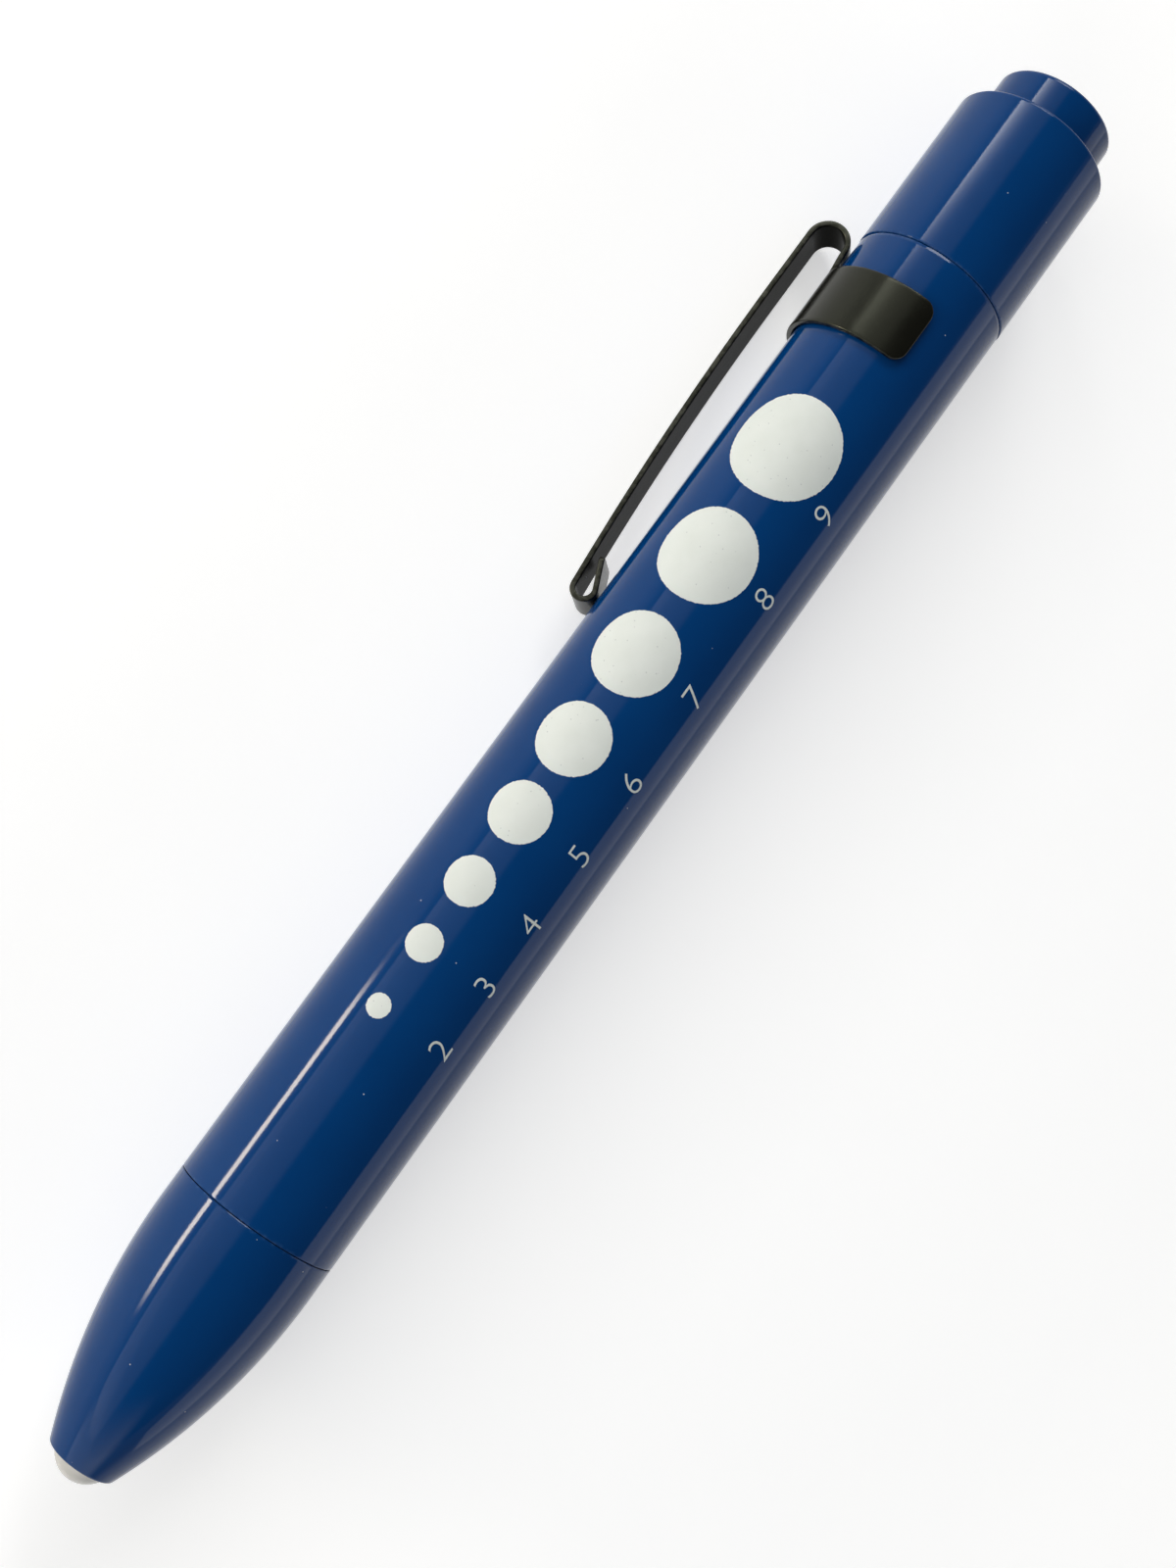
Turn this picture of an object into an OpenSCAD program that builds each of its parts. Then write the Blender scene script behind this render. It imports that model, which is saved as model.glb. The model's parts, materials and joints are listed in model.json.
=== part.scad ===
// Penlight with a screw-off nose, a screw-off cap with a push switch, two AAA cells and a spring clip.
// Pieces are drawn round a local Z axis that runs from the nose to the button, with zero at the seam
// between nose and barrel and the clip along local +X. The module laid() then lays the pen on its side.

/* [Cells] */
// Diameter of one cell over its label
cell_d = 10.5; // [9:0.1:14.5]
// Length of one cell with its positive nub
cell_len = 44.5; // [30:0.5:60]
// Diameter of the positive nub
nub_d = 3.6; // [3:0.1:4]
// Height of the positive nub
nub_len = 1; // [0.8:0.1:1.5]
// Thickness of the label sleeve
label_t = 0.15; // [0.1:0.05:0.3]
// Distance from a cell's edge in to its negative base plate
base_inset = 1.55; // [1.3:0.05:2]
// How far the front cell reaches past the seam into the nose
cell_reach = 4; // [3:0.1:4.6]

/* [Barrel] */
// Wall of the barrel between its seams
barrel_wall = 1.35; // [1.1:0.05:2]
// Length of the barrel beyond the two cells
barrel_extra = 0.9; // [0.5:0.1:3]
// Radial room round the cells
cell_room = 0.2; // [0.1:0.05:0.25]
// Wall of the threaded spigots
spigot_wall = 0.55; // [0.4:0.05:0.7]
// Length of each threaded spigot
spigot_len = 5; // [4:0.1:6]

/* [Nose] */
// Length of the nose from the seam to its rim
nose_len = 21.5; // [17:0.5:28]
// Straight land behind the taper
nose_land = 2.3; // [1:0.1:5]
// Wall of the rim round the lamp
rim_wall = 0.3; // [0.2:0.05:0.8]

/* [Lamp] */
// Diameter of the lamp and its dome
led_d = 5; // [4.6:0.1:5.2]
// How far the dome stands out of the rim
lens_out = 1.5; // [1:0.1:1.9]
// Straight length of the lamp behind its dome
led_body_len = 5; // [4:0.1:6]
// How far the lamp's flange stands out from its side
led_flange_step = 0.4; // [0.2:0.05:0.6]
// Thickness of the lamp's flange
led_flange_t = 1; // [0.6:0.1:1.5]
// Diameter of one lamp wire
lead_d = 0.5; // [0.4:0.05:0.6]
// Distance between the two lamp wires
lead_pitch = 2.54; // [2:0.02:3]
// Distance from the barrel's bore in to the lamp holder's side
holder_inset = 0.75; // [0.5:0.05:1.2]
// Thickness of the circuit board
board_t = 1; // [0.6:0.1:1.6]

/* [Switch] */
// Depth of the cap's bore, from the seam to the shoulder that the switch seats on
socket_depth = 9.8; // [9.2:0.1:14]
// Radial room round the switch's cup
cup_room = 0.25; // [0.15:0.05:0.5]
// Thickness of the switch's flange
switch_flange_t = 1.2; // [0.8:0.1:1.5]
// Thickness of the retaining ring
retainer_t = 1.3; // [0.8:0.1:1.6]
// Diameter of the plunger
plunger_d = 4; // [3:0.1:4.4]
// Wire of the return spring
switch_wire = 0.4; // [0.3:0.05:0.5]
// Turns of the return spring
switch_turns = 4.5; // [3:0.5:5]
// Wire of the contact spring
contact_wire = 0.6; // [0.4:0.05:0.7]
// Turns of the contact spring
contact_turns = 3.5; // [2:0.5:4]

/* [Cap and button] */
// Step from the barrel's surface out to the cap's
cap_step = 0.05; // [0:0.05:0.3]
// Lip of the cap that holds the button in
lip_t = 1.5; // [1:0.1:2.5]
// Step from the cap's inner wall in to the button's side
button_step = 0.5; // [0.4:0.05:1.5]
// How far the button stands out of the cap
button_out = 3.8; // [2.5:0.1:6]
// Travel of the button
button_travel = 2; // [1:0.1:2.4]
// Thickness of the button's flange
button_flange_t = 1; // [0.6:0.1:1.5]
// Edge round of the button's face
button_round = 0.45; // [0.2:0.05:1]

/* [Clip] */
// Thickness of the clip's strip
clip_t = 0.55; // [0.4:0.05:0.8]
// Width of the clip's arm
clip_w = 3.6; // [2.6:0.1:5]
// Height of the arm's outer face over the barrel
clip_rise = 3.85; // [3.2:0.05:6]
// Length from the fold's centre to the curl's centre
clip_reach = 35; // [25:0.5:45]
// Straight length of the arm next to the fold
arm_flat = 5.5; // [3:0.5:10]
// Outer diameter of the rolled tip
curl_d = 2.3; // [1.8:0.1:2.8]
// Length of the strip's end behind the rolled tip
curl_leg = 2.4; // [1:0.1:2.6]
// Distance from the rear seam to the fold's centre
fold_back = 1.4; // [1:0.1:5]
// Distance from the fold's centre to the band's edge
stem_len = 2.5; // [1.5:0.1:6]
// Width of the band along the barrel
band_w = 5.6; // [4:0.1:9]
// Angle that each wing of the band wraps
wing_wrap = 116; // [100:1:130]
// Angle that the arm opens
open_angle = 5; // [2:0.5:6]

/* [Fits] */
// Radial play of threads, bores and plungers
fit_gap = 0.05; // [0.03:0.01:0.08]
// Gap between faces that meet and turn or slide
face_gap = 0.1; // [0.05:0.01:0.2]
// Gap at the two seams of the barrel
seam_gap = 0.05; // [0.02:0.01:0.1]

/* [Hidden] */

// Facets of round shapes, and of the long arcs of the nose and the clip
$fn = 96;
arc_facets = 720;
// Overrun of every cut
over = 1;
// Edge breaks: at the seams, the rim, the spigots' leads, the cap's end and the cells
seam_chamfer = 0.2;
rim_chamfer = 0.15;
lead_chamfer = 0.3;
cap_round = 0.35;
cell_chamfer = 0.5;

// Barrel, spigots and cap bore
cell_count = 2;
cell_r = cell_d / 2;
barrel_len = cell_count * cell_len + barrel_extra;
bore_r = cell_r + cell_room;
barrel_r = bore_r + barrel_wall;
spigot_r = bore_r + spigot_wall;
socket_r = spigot_r + fit_gap;
// Room past the end of a spigot
socket_spare = 0.3;

// Nose: one arc runs tangent from the land to the rim
led_r = led_d / 2;
rim_r = led_r + rim_wall;
taper_len = nose_len - nose_land;
taper_drop = barrel_r - rim_r;
taper_arc_r = (taper_len ^ 2 + taper_drop ^ 2) / (2 * taper_drop);

// Lamp: the dome's centre, the flange and the holder behind it
led_flange_r = led_r + led_flange_step;
dome_z = led_r - lens_out - nose_len;
flange_z = dome_z + led_body_len;
flange_end_z = flange_z + led_flange_t;
// Room between the holder and the front cell's nub
holder_room = 1.6;
holder_end_z = -(cell_reach + holder_room);
holder_len = holder_end_z - flange_end_z;
holder_r = bore_r - holder_inset;
// Neck of the holder behind the lamp's flange, and the recess in its back for the board
neck_share = 0.225;
neck_step = 0.1;
neck_r = led_flange_r - neck_step;
holder_z = flange_end_z + holder_len * neck_share;
recess_share = 0.315;
recess_wall = 0.6;
recess_r = holder_r - recess_wall;
board_z = holder_end_z - holder_len * recess_share;
board_end_z = board_z + board_t;
board_r = recess_r - face_gap;
lead_hole_d = lead_d + 4 * fit_gap;
// Stub of each wire behind the board
lead_stub = 0.4;
resistor_len = 2;
resistor_w = 1.25;
resistor_t = 0.5;
// The resistor sits near the board's edge, and the contact's foot just clears it
resistor_inset = 1.2;
resistor_offset = board_r - resistor_inset;
foot_gap = 0.175;
foot_step = 0.4;
foot_t = 0.3;
foot_r = resistor_offset - resistor_w / 2 - foot_gap;
contact_r = foot_r - foot_step;
// The contact stops short of the nub by the same gap as other meeting faces
contact_end_z = -cell_reach - face_gap;
earth_ring_t = 0.3;

// Cells: place of each cell's nub along the axis
front_cell_z = -cell_reach;
rear_cell_z = front_cell_z + cell_len;
stack_end_z = rear_cell_z + cell_len;
can_r = cell_r - label_t;
base_r = cell_r - base_inset;
// Recess in a cell's base, the plate's stand-out and the seal's width
base_recess = 0.6;
base_out = 0.15;
seal_w = 0.9;
label_inset = 0.5;

// Cap and button: the cap's length follows from what it holds
press_spare = 0.5;
cap_r = barrel_r + cap_step;
shoulder_z = barrel_len + socket_depth;
cap_end_z = shoulder_z + button_travel + press_spare + button_flange_t + face_gap + lip_t;
chamber_end_z = cap_end_z - lip_t;
// Ledge that the switch's flange seats on, inside the socket's bore
seat_ledge = 0.3;
chamber_r = socket_r - seat_ledge;
button_r = chamber_r - button_step;
button_end_z = cap_end_z + button_out;
button_flange_z = chamber_end_z - face_gap - button_flange_t;
button_wall = 1.1;
button_top_t = 1.4;
boss_step = 0.2;

// Switch: cup, cover, plunger and contacts
disc_t = 0.4;
disc_inset = 0.8;
disc_z = barrel_len + face_gap;
cup_z = disc_z + disc_t;
cup_floor_t = 1;
cup_wall = 1;
cup_r = bore_r - cup_room;
disc_r = cup_r - disc_inset;
cavity_r = cup_r - cup_wall;
cavity_z = cup_z + cup_floor_t;
cover_end_z = shoulder_z - face_gap;
cover_z = cover_end_z - switch_flange_t;
cover_ring_len = 0.8;
cover_ring_wall = 0.8;
rivet_d = 1.6;
rivet_head_d = 3;
rivet_head_t = 0.4;
retainer_end_z = cover_z - face_gap;
retainer_z = retainer_end_z - retainer_t;
plunger_r = plunger_d / 2;
plunger_end_z = button_flange_z + button_flange_t / 2;
stop_t = 1;
stop_wall = 0.5;
stop_end_z = cover_z - cover_ring_len - face_gap;
stop_z = stop_end_z - stop_t;
pad_t = 0.4;
pad_step = 0.5;
pad_r = plunger_r - pad_step;
pad_z = cavity_z + rivet_head_t + button_travel + face_gap;

// Springs: mean radii of the coils at their ends
spring_sides = 6;
spring_rings = 8;
spring_edge = 0.1;
contact_spring_r = disc_r - contact_wire / 2 - spring_edge;
spring_tip_inset = 1;
contact_spring_tip_r = base_r - spring_tip_inset;
spring_room = 0.5;
switch_spring_r = plunger_r + spring_room;

// Clip: the stem lies just off the band's inner face, and the fold joins stem and arm
clip_gap = 0.05;
stem_lift = 0.06;
band_r = barrel_r + clip_gap;
band_out_r = band_r + clip_t;
stem_r = band_r + stem_lift;
clip_top_r = barrel_r + clip_rise;
fold_r = (clip_top_r - stem_r) / 2;
fold_x = stem_r + fold_r;
fold_z = barrel_len - fold_back;
band_end_z = fold_z - stem_len;
band_z = band_end_z - band_w;
band_corner_r = 1.15;
// The round's centre lies a little less than its radius inside the edges, so that it cuts across them
corner_inset_share = 0.97;
corner_inset = band_corner_r * corner_inset_share;
// Length of the stem that lies within the band
stem_root = 2;
// Free angle at the fold's middle, so that the opening arm clears the band's half of the fold
play_angle = 2;
slit_angle = open_angle + play_angle;
// The arm bows on one arc that ends tangent to the curl, and the curl just clears the barrel
crest_z = fold_z - arm_flat;
curl_r = curl_d / 2;
curl_z = fold_z - clip_reach;
curl_x = barrel_r + face_gap + curl_r;
bow_len = crest_z - curl_z;
bow_drop = clip_top_r - curl_r - curl_x;
bow_arc_r = (bow_len ^ 2 + bow_drop ^ 2) / (2 * bow_drop) + curl_r;
bow_angle = asin(bow_len / (bow_arc_r - curl_r));
curl_leg_angle = 28;

// Lying down: the pen rests on the band and on the arm's lower corner
rest_r = max(band_out_r, cap_r);
corner_r = norm([clip_top_r, clip_w / 2]);
clip_dip = asin(rest_r / corner_r) - atan(clip_w / 2 / clip_top_r);
front_z = dome_z - led_r;
mid_z = (front_z + button_end_z) / 2;
reach_y = clip_top_r * cos(clip_dip) + clip_w / 2 * sin(clip_dip);
mid_y = (reach_y - cap_r) / 2;

// Place of a local point in the lying frame
function laid_point(p) = [
  p.z - mid_z,
  p.x * cos(clip_dip) + p.y * sin(clip_dip) - mid_y,
  rest_r - p.x * sin(clip_dip) + p.y * cos(clip_dip)
];
echo(axis_point = laid_point([0, 0, mid_z]));
echo(clip_dip = clip_dip);
echo(fold_point = laid_point([fold_x, 0, fold_z]));
echo(button_face = laid_point([0, 0, button_end_z]));
echo(clip_mouth = laid_point([curl_x - curl_r, 0, curl_z]));

// Lays the pen down along +X
module laid() {
  translate([-mid_z, -mid_y, rest_r])
    rotate([90 - clip_dip, 0, 0])
      rotate([0, 90, 0])
        children();
}

// Round bar between two heights
module rod(r, z0, z1) {
  translate([0, 0, z0])
    cylinder(r = r, h = z1 - z0);
}

// Round ring between two heights
module tube(r_out, r_in, z0, z1) {
  difference() {
    rod(r_out, z0, z1);
    rod(r_in, z0 - over, z1 + over);
  }
}

// Half outline of a bar whose far edge is rounded
module round_bar_outline(r, z0, z1, edge) {
  translate([0, z0])
    square([r, z1 - edge - z0]);
  translate([0, z0])
    square([r - edge, z1 - z0]);
  translate([r - edge, z1 - edge])
    circle(edge);
}

// Wire coil from one radius and height to another, swept as one closed tube
module coil(r0, r1, z0, z1, turns, wire) {
  steps = ceil(turns * spring_rings);
  side_angle = 360 / spring_sides;
  points = [
    for (i = [0 : steps])
      for (j = [0 : spring_sides - 1])
        coil_point(r0, r1, z0, z1, turns, i / steps, wire / 2, j * side_angle)
  ];
  walls = [
    for (i = [0 : steps - 1])
      for (j = [0 : spring_sides - 1])
        let (
          k = (j + 1) % spring_sides,
          a = i * spring_sides + j,
          b = i * spring_sides + k
        )
        each [[a, b, a + spring_sides], [b, b + spring_sides, a + spring_sides]]
  ];
  last = steps * spring_sides;
  ends = [
    for (j = [1 : spring_sides - 2])
      each [[0, j + 1, j], [last, last + j, last + j + 1]]
  ];
  polyhedron(points = points, faces = concat(walls, ends));
  centres = [for (i = [0 : steps]) coil_point(r0, r1, z0, z1, turns, i / steps, 0, 0)];
  gaps = [
    for (i = [0 : steps])
      for (j = [i + spring_rings / 2 : steps])
        norm(centres[i] - centres[j]) - wire
  ];
  echo(coil_least_gap = min(gaps));
}

// Point on a coil's tube: share runs along the wire, side goes round it
function coil_point(r0, r1, z0, z1, turns, share, wire_r, side) =
  let (
    r = r0 + (r1 - r0) * share + wire_r * cos(side),
    angle = 360 * turns * share
  )
  [r * cos(angle), r * sin(angle), z0 + (z1 - z0) * share + wire_r * sin(side)];

// Outer half outline of the nose: chamfered land, one tangent arc, broken rim
module nose_outline() {
  difference() {
    polygon([
      [0, -seam_gap],
      [barrel_r - seam_chamfer, -seam_gap],
      [barrel_r, -seam_gap - seam_chamfer],
      [barrel_r, taper_drop + rim_chamfer - nose_len],
      [rim_r - rim_chamfer, -nose_len],
      [0, -nose_len]
    ]);
    difference() {
      translate([0, -nose_len - over])
        square([barrel_r + over, taper_len + over]);
      translate([barrel_r - taper_arc_r, -nose_land])
        circle(taper_arc_r, $fn = arc_facets);
    }
  }
}

module nose_shell() {
  socket_end_z = -spigot_len - socket_spare;
  color("royalblue")
    laid()
      difference() {
        rotate_extrude()
          nose_outline();
        rod(socket_r, socket_end_z, over);
        rod(holder_r + fit_gap, holder_z - face_gap, over);
        rod(led_flange_r + face_gap, flange_z - face_gap, over);
        rod(led_r + fit_gap, dome_z, over);
        translate([0, 0, dome_z])
          sphere(led_r + fit_gap);
      }
}

module led_lamp() {
  color("gainsboro")
    laid() {
      difference() {
        union() {
          translate([0, 0, dome_z])
            sphere(led_r);
          rod(led_r, dome_z, flange_z);
          rod(led_flange_r, flange_z, flange_end_z);
        }
        // Flat on the flange that marks the negative wire
        translate([led_r, -led_flange_r, flange_z])
          cube([led_flange_r, 2 * led_flange_r, led_flange_t + over]);
      }
    }
}

// The two lamp wires, or the holes that they pass through
module lead_pair(d, z0, z1) {
  for (side = [-1, 1])
    translate([side * lead_pitch / 2, 0, 0])
      rod(d / 2, z0, z1);
}

module led_leads() {
  color("silver")
    laid()
      lead_pair(lead_d, flange_end_z, board_end_z + lead_stub);
}

module led_holder() {
  color("whitesmoke")
    laid()
      difference() {
        union() {
          rod(neck_r, flange_end_z, holder_z);
          rod(holder_r, holder_z, holder_end_z);
        }
        rod(recess_r, board_z, holder_end_z + over);
        lead_pair(lead_hole_d, flange_end_z - over, board_z + over);
      }
}

module led_board() {
  color("darkgreen")
    laid()
      difference() {
        rod(board_r, board_z, board_end_z);
        lead_pair(lead_hole_d, board_z - over, board_end_z + over);
      }
}

module led_resistor() {
  color("black")
    laid()
      translate([-resistor_len / 2, resistor_offset - resistor_w / 2, board_end_z])
        cube([resistor_len, resistor_w, resistor_t]);
}

// The foot is cut back round the wires' stubs
module front_contact() {
  color("goldenrod")
    laid()
      difference() {
        union() {
          rod(foot_r, board_end_z, board_end_z + foot_t);
          rod(contact_r, board_end_z, contact_end_z);
        }
        lead_pair(lead_hole_d + 2 * face_gap, board_end_z - over, board_end_z + lead_stub + face_gap);
      }
}

module earth_ring() {
  color("gold")
    laid()
      tube(holder_r, holder_r - 2 * recess_wall, holder_end_z, holder_end_z + earth_ring_t);
}

module barrel() {
  color("mediumblue")
    laid()
      rotate_extrude()
        polygon([
          [bore_r, -spigot_len],
          [spigot_r - lead_chamfer, -spigot_len],
          [spigot_r, lead_chamfer - spigot_len],
          [spigot_r, 0],
          [barrel_r - seam_chamfer, 0],
          [barrel_r, seam_chamfer],
          [barrel_r, barrel_len - seam_chamfer],
          [barrel_r - seam_chamfer, barrel_len],
          [spigot_r, barrel_len],
          [spigot_r, barrel_len + spigot_len - lead_chamfer],
          [spigot_r - lead_chamfer, barrel_len + spigot_len],
          [bore_r, barrel_len + spigot_len]
        ]);
}

// Cell can with its nub in front and the recess for the base plate behind
module cell_can(z0) {
  end_z = z0 + cell_len - base_out;
  color("lightgray")
    laid()
      rotate_extrude()
        polygon([
          [0, z0],
          [nub_d / 2, z0],
          [nub_d / 2, z0 + nub_len],
          [can_r - cell_chamfer, z0 + nub_len],
          [can_r, z0 + nub_len + cell_chamfer],
          [can_r, end_z],
          [base_r + seal_w, end_z],
          [base_r + seal_w, end_z - base_recess],
          [0, end_z - base_recess]
        ]);
}

module cell_label(z0) {
  color("dimgray")
    laid()
      tube(cell_r, can_r, z0 + nub_len + cell_chamfer, z0 + cell_len - base_out - label_inset);
}

module cell_seal(z0) {
  end_z = z0 + cell_len - base_out;
  color("black")
    laid()
      tube(base_r + seal_w - fit_gap, base_r + fit_gap, end_z - base_recess, end_z);
}

module cell_base(z0) {
  color("silver")
    laid()
      rod(base_r, z0 + cell_len - base_out - base_recess, z0 + cell_len);
}

module front_cell_can() {
  cell_can(front_cell_z);
}

module front_cell_label() {
  cell_label(front_cell_z);
}

module front_cell_seal() {
  cell_seal(front_cell_z);
}

module front_cell_base() {
  cell_base(front_cell_z);
}

module rear_cell_can() {
  cell_can(rear_cell_z);
}

module rear_cell_label() {
  cell_label(rear_cell_z);
}

module rear_cell_seal() {
  cell_seal(rear_cell_z);
}

module rear_cell_base() {
  cell_base(rear_cell_z);
}

module contact_spring() {
  color("silver")
    laid()
      coil(
        contact_spring_r, contact_spring_tip_r,
        disc_z - contact_wire / 2 - fit_gap, stack_end_z + contact_wire / 2 + face_gap,
        contact_turns, contact_wire
      );
}

module fixed_contact() {
  color("goldenrod")
    laid() {
      rod(disc_r, disc_z, cup_z);
      rod(rivet_d / 2, disc_z, cavity_z + rivet_head_t);
      rod(rivet_head_d / 2, cavity_z, cavity_z + rivet_head_t);
    }
}

module switch_body() {
  color("ivory")
    laid()
      difference() {
        rod(cup_r, cup_z, cover_z);
        rod(cavity_r, cavity_z, cover_z + over);
        rod(rivet_d / 2 + fit_gap, cup_z - over, cavity_z + over);
      }
}

module switch_cover() {
  ring_r = cavity_r - fit_gap;
  color("dimgray")
    laid()
      difference() {
        union() {
          rod(socket_r - fit_gap, cover_z, cover_end_z);
          tube(ring_r, ring_r - cover_ring_wall, cover_z - cover_ring_len, cover_z + switch_flange_t / 2);
        }
        rod(plunger_r + fit_gap, cover_z - over, cover_end_z + over);
      }
}

module switch_plunger() {
  color("orangered")
    laid() {
      rod(plunger_r, stop_z, plunger_end_z);
      rod(cavity_r - cover_ring_wall + stop_wall / 2, stop_z, stop_end_z);
      rod(pad_r, pad_z + pad_t, stop_z);
    }
}

module moving_contact() {
  color("gold")
    laid()
      rod(pad_r, pad_z, pad_z + pad_t);
}

module switch_spring() {
  color("silver")
    laid()
      coil(
        switch_spring_r, switch_spring_r,
        cavity_z + switch_wire / 2 + fit_gap, stop_z - switch_wire / 2 - fit_gap,
        switch_turns, switch_wire
      );
}

module retaining_ring() {
  color("darkgray")
    laid()
      tube(socket_r - fit_gap / 2, cup_r + face_gap, retainer_z, retainer_end_z);
}

module cap_shell() {
  mouth_z = barrel_len + seam_gap;
  color("royalblue")
    laid()
      difference() {
        rotate_extrude()
          difference() {
            round_bar_outline(cap_r, mouth_z, cap_end_z, cap_round);
            polygon([
              [cap_r - seam_chamfer, mouth_z],
              [cap_r + over, mouth_z - over],
              [cap_r + over, mouth_z + seam_chamfer + over]
            ]);
          }
        rod(socket_r, barrel_len - over, shoulder_z);
        rod(chamber_r, shoulder_z - over, chamber_end_z);
        rod(button_r + fit_gap, chamber_end_z - over, cap_end_z + over);
      }
}

// Hollow button with a flange behind the cap's lip and a boss that meets the plunger
module push_button() {
  cavity_end_z = button_end_z - button_top_t;
  color("blue")
    laid() {
      difference() {
        rotate_extrude() {
          round_bar_outline(button_r, button_flange_z, button_end_z, button_round);
          translate([0, button_flange_z])
            square([chamber_r - fit_gap, button_flange_t]);
        }
        rod(button_r - button_wall, button_flange_z - over, cavity_end_z);
      }
      rod(plunger_r + boss_step, plunger_end_z, cavity_end_z);
    }
}

// Strip of the clip, from its outline in the plane of the clip
module strip(w) {
  translate([0, w / 2, 0])
    rotate([90, 0, 0])
      linear_extrude(w)
        children();
}

// Outline of a bent stretch of strip, from one angle to another
module bend_outline(r, from, to) {
  reach = r + over;
  middle = (from + to) / 2;
  intersection() {
    difference() {
      circle(r);
      circle(r - clip_t);
    }
    polygon([
      [0, 0],
      for (angle = [from, (from + middle) / 2, middle, (middle + to) / 2, to])
        2 * reach * [cos(angle), sin(angle)]
    ]);
  }
}

// Corner of a wing, to be cut away round
module wing_corner(wing_side, band_side) {
  edge_z = band_side > 0 ? band_end_z : band_z;
  block = band_corner_r + over;
  rotate([0, 0, wing_side * wing_wrap])
    translate([0, -wing_side * corner_inset, edge_z - band_side * corner_inset])
      rotate([0, 90, 0])
        difference() {
          translate([-(band_side + 1) / 2 * block, (wing_side - 1) / 2 * block, 0])
            cube([block, block, band_out_r + over]);
          cylinder(r = band_corner_r, h = band_out_r + 2 * over);
        }
}

// Band, flat stem and the first half of the fold
module clip_band() {
  color("dimgray")
    laid() {
      difference() {
        rotate([0, 0, -wing_wrap])
          rotate_extrude(angle = 2 * wing_wrap)
            translate([band_r, band_z])
              square([clip_t, band_w]);
        for (wing_side = [-1, 1])
          for (band_side = [-1, 1])
            wing_corner(wing_side, band_side);
      }
      strip(clip_w) {
        translate([stem_r, band_end_z - stem_root])
          square([clip_t, stem_len + stem_root]);
        translate([fold_x, fold_z])
          bend_outline(fold_r, 90, 180);
      }
    }
}

// Second half of the fold, bowed arm and rolled tip
module clip_arm() {
  color("dimgray")
    laid()
      strip(clip_w) {
        translate([fold_x, fold_z])
          bend_outline(fold_r, 0, 90 - slit_angle);
        translate([clip_top_r - clip_t, crest_z])
          square([clip_t, arm_flat]);
        translate([clip_top_r - bow_arc_r, crest_z])
          intersection() {
            difference() {
              circle(bow_arc_r, $fn = arc_facets);
              circle(bow_arc_r - clip_t, $fn = arc_facets);
            }
            polygon([
              [0, 0],
              [bow_arc_r + over, 0],
              (bow_arc_r + over) / cos(bow_angle) * [cos(bow_angle), -sin(bow_angle)]
            ]);
          }
        translate([curl_x, curl_z]) {
          bend_outline(curl_r, -180 - curl_leg_angle, -bow_angle);
          rotate(-180 - curl_leg_angle)
            translate([curl_r - clip_t, -curl_leg])
              square([clip_t, curl_leg]);
        }
      }
}

nose_shell();
led_lamp();
led_leads();
led_holder();
led_board();
led_resistor();
front_contact();
earth_ring();
barrel();
clip_band();
clip_arm();
front_cell_can();
front_cell_label();
front_cell_seal();
front_cell_base();
rear_cell_can();
rear_cell_label();
rear_cell_seal();
rear_cell_base();
contact_spring();
fixed_contact();
switch_body();
switch_cover();
switch_plunger();
moving_contact();
switch_spring();
retaining_ring();
cap_shell();
push_button();
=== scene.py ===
# %% [markdown]
# # A penlight with a printed gauge
# The CAD model gives every piece of this slim metal penlight at its true size and place, and it moves.
# This lesson dresses it: turned shells with softened edges, gloss blue lacquer, printed ink, a bent
# spring clip and a clear lamp. The frame is loaded first, because every piece is measured from it.

# %% Load the frame
import json
import math

import bmesh
import bpy
from mathutils import Matrix, Vector


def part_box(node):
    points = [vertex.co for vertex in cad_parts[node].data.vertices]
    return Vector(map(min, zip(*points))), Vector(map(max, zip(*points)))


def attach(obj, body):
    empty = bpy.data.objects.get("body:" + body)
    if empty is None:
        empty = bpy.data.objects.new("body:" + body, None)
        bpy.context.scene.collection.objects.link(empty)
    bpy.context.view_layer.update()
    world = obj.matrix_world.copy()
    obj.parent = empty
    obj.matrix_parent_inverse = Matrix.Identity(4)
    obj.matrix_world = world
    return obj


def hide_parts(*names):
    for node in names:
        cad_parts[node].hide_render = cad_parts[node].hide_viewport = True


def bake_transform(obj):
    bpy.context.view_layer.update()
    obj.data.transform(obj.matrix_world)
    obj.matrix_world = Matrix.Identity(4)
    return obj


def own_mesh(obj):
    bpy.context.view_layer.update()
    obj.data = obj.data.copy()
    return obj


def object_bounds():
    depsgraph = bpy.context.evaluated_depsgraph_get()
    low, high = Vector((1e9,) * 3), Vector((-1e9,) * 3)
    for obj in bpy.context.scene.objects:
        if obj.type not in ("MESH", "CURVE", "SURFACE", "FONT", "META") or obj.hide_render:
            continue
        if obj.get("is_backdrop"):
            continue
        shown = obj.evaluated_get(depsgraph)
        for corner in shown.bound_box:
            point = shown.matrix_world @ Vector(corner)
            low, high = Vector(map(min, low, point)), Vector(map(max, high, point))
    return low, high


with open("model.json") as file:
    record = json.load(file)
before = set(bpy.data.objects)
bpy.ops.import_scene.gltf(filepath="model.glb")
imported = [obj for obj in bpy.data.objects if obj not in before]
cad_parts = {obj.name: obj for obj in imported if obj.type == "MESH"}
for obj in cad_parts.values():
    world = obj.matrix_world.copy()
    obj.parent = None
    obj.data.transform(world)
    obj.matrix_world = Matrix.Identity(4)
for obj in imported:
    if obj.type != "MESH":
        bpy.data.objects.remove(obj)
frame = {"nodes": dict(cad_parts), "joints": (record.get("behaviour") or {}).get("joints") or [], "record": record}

cad_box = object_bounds()
joints = {joint["name"]: joint for joint in frame["joints"]}

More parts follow.
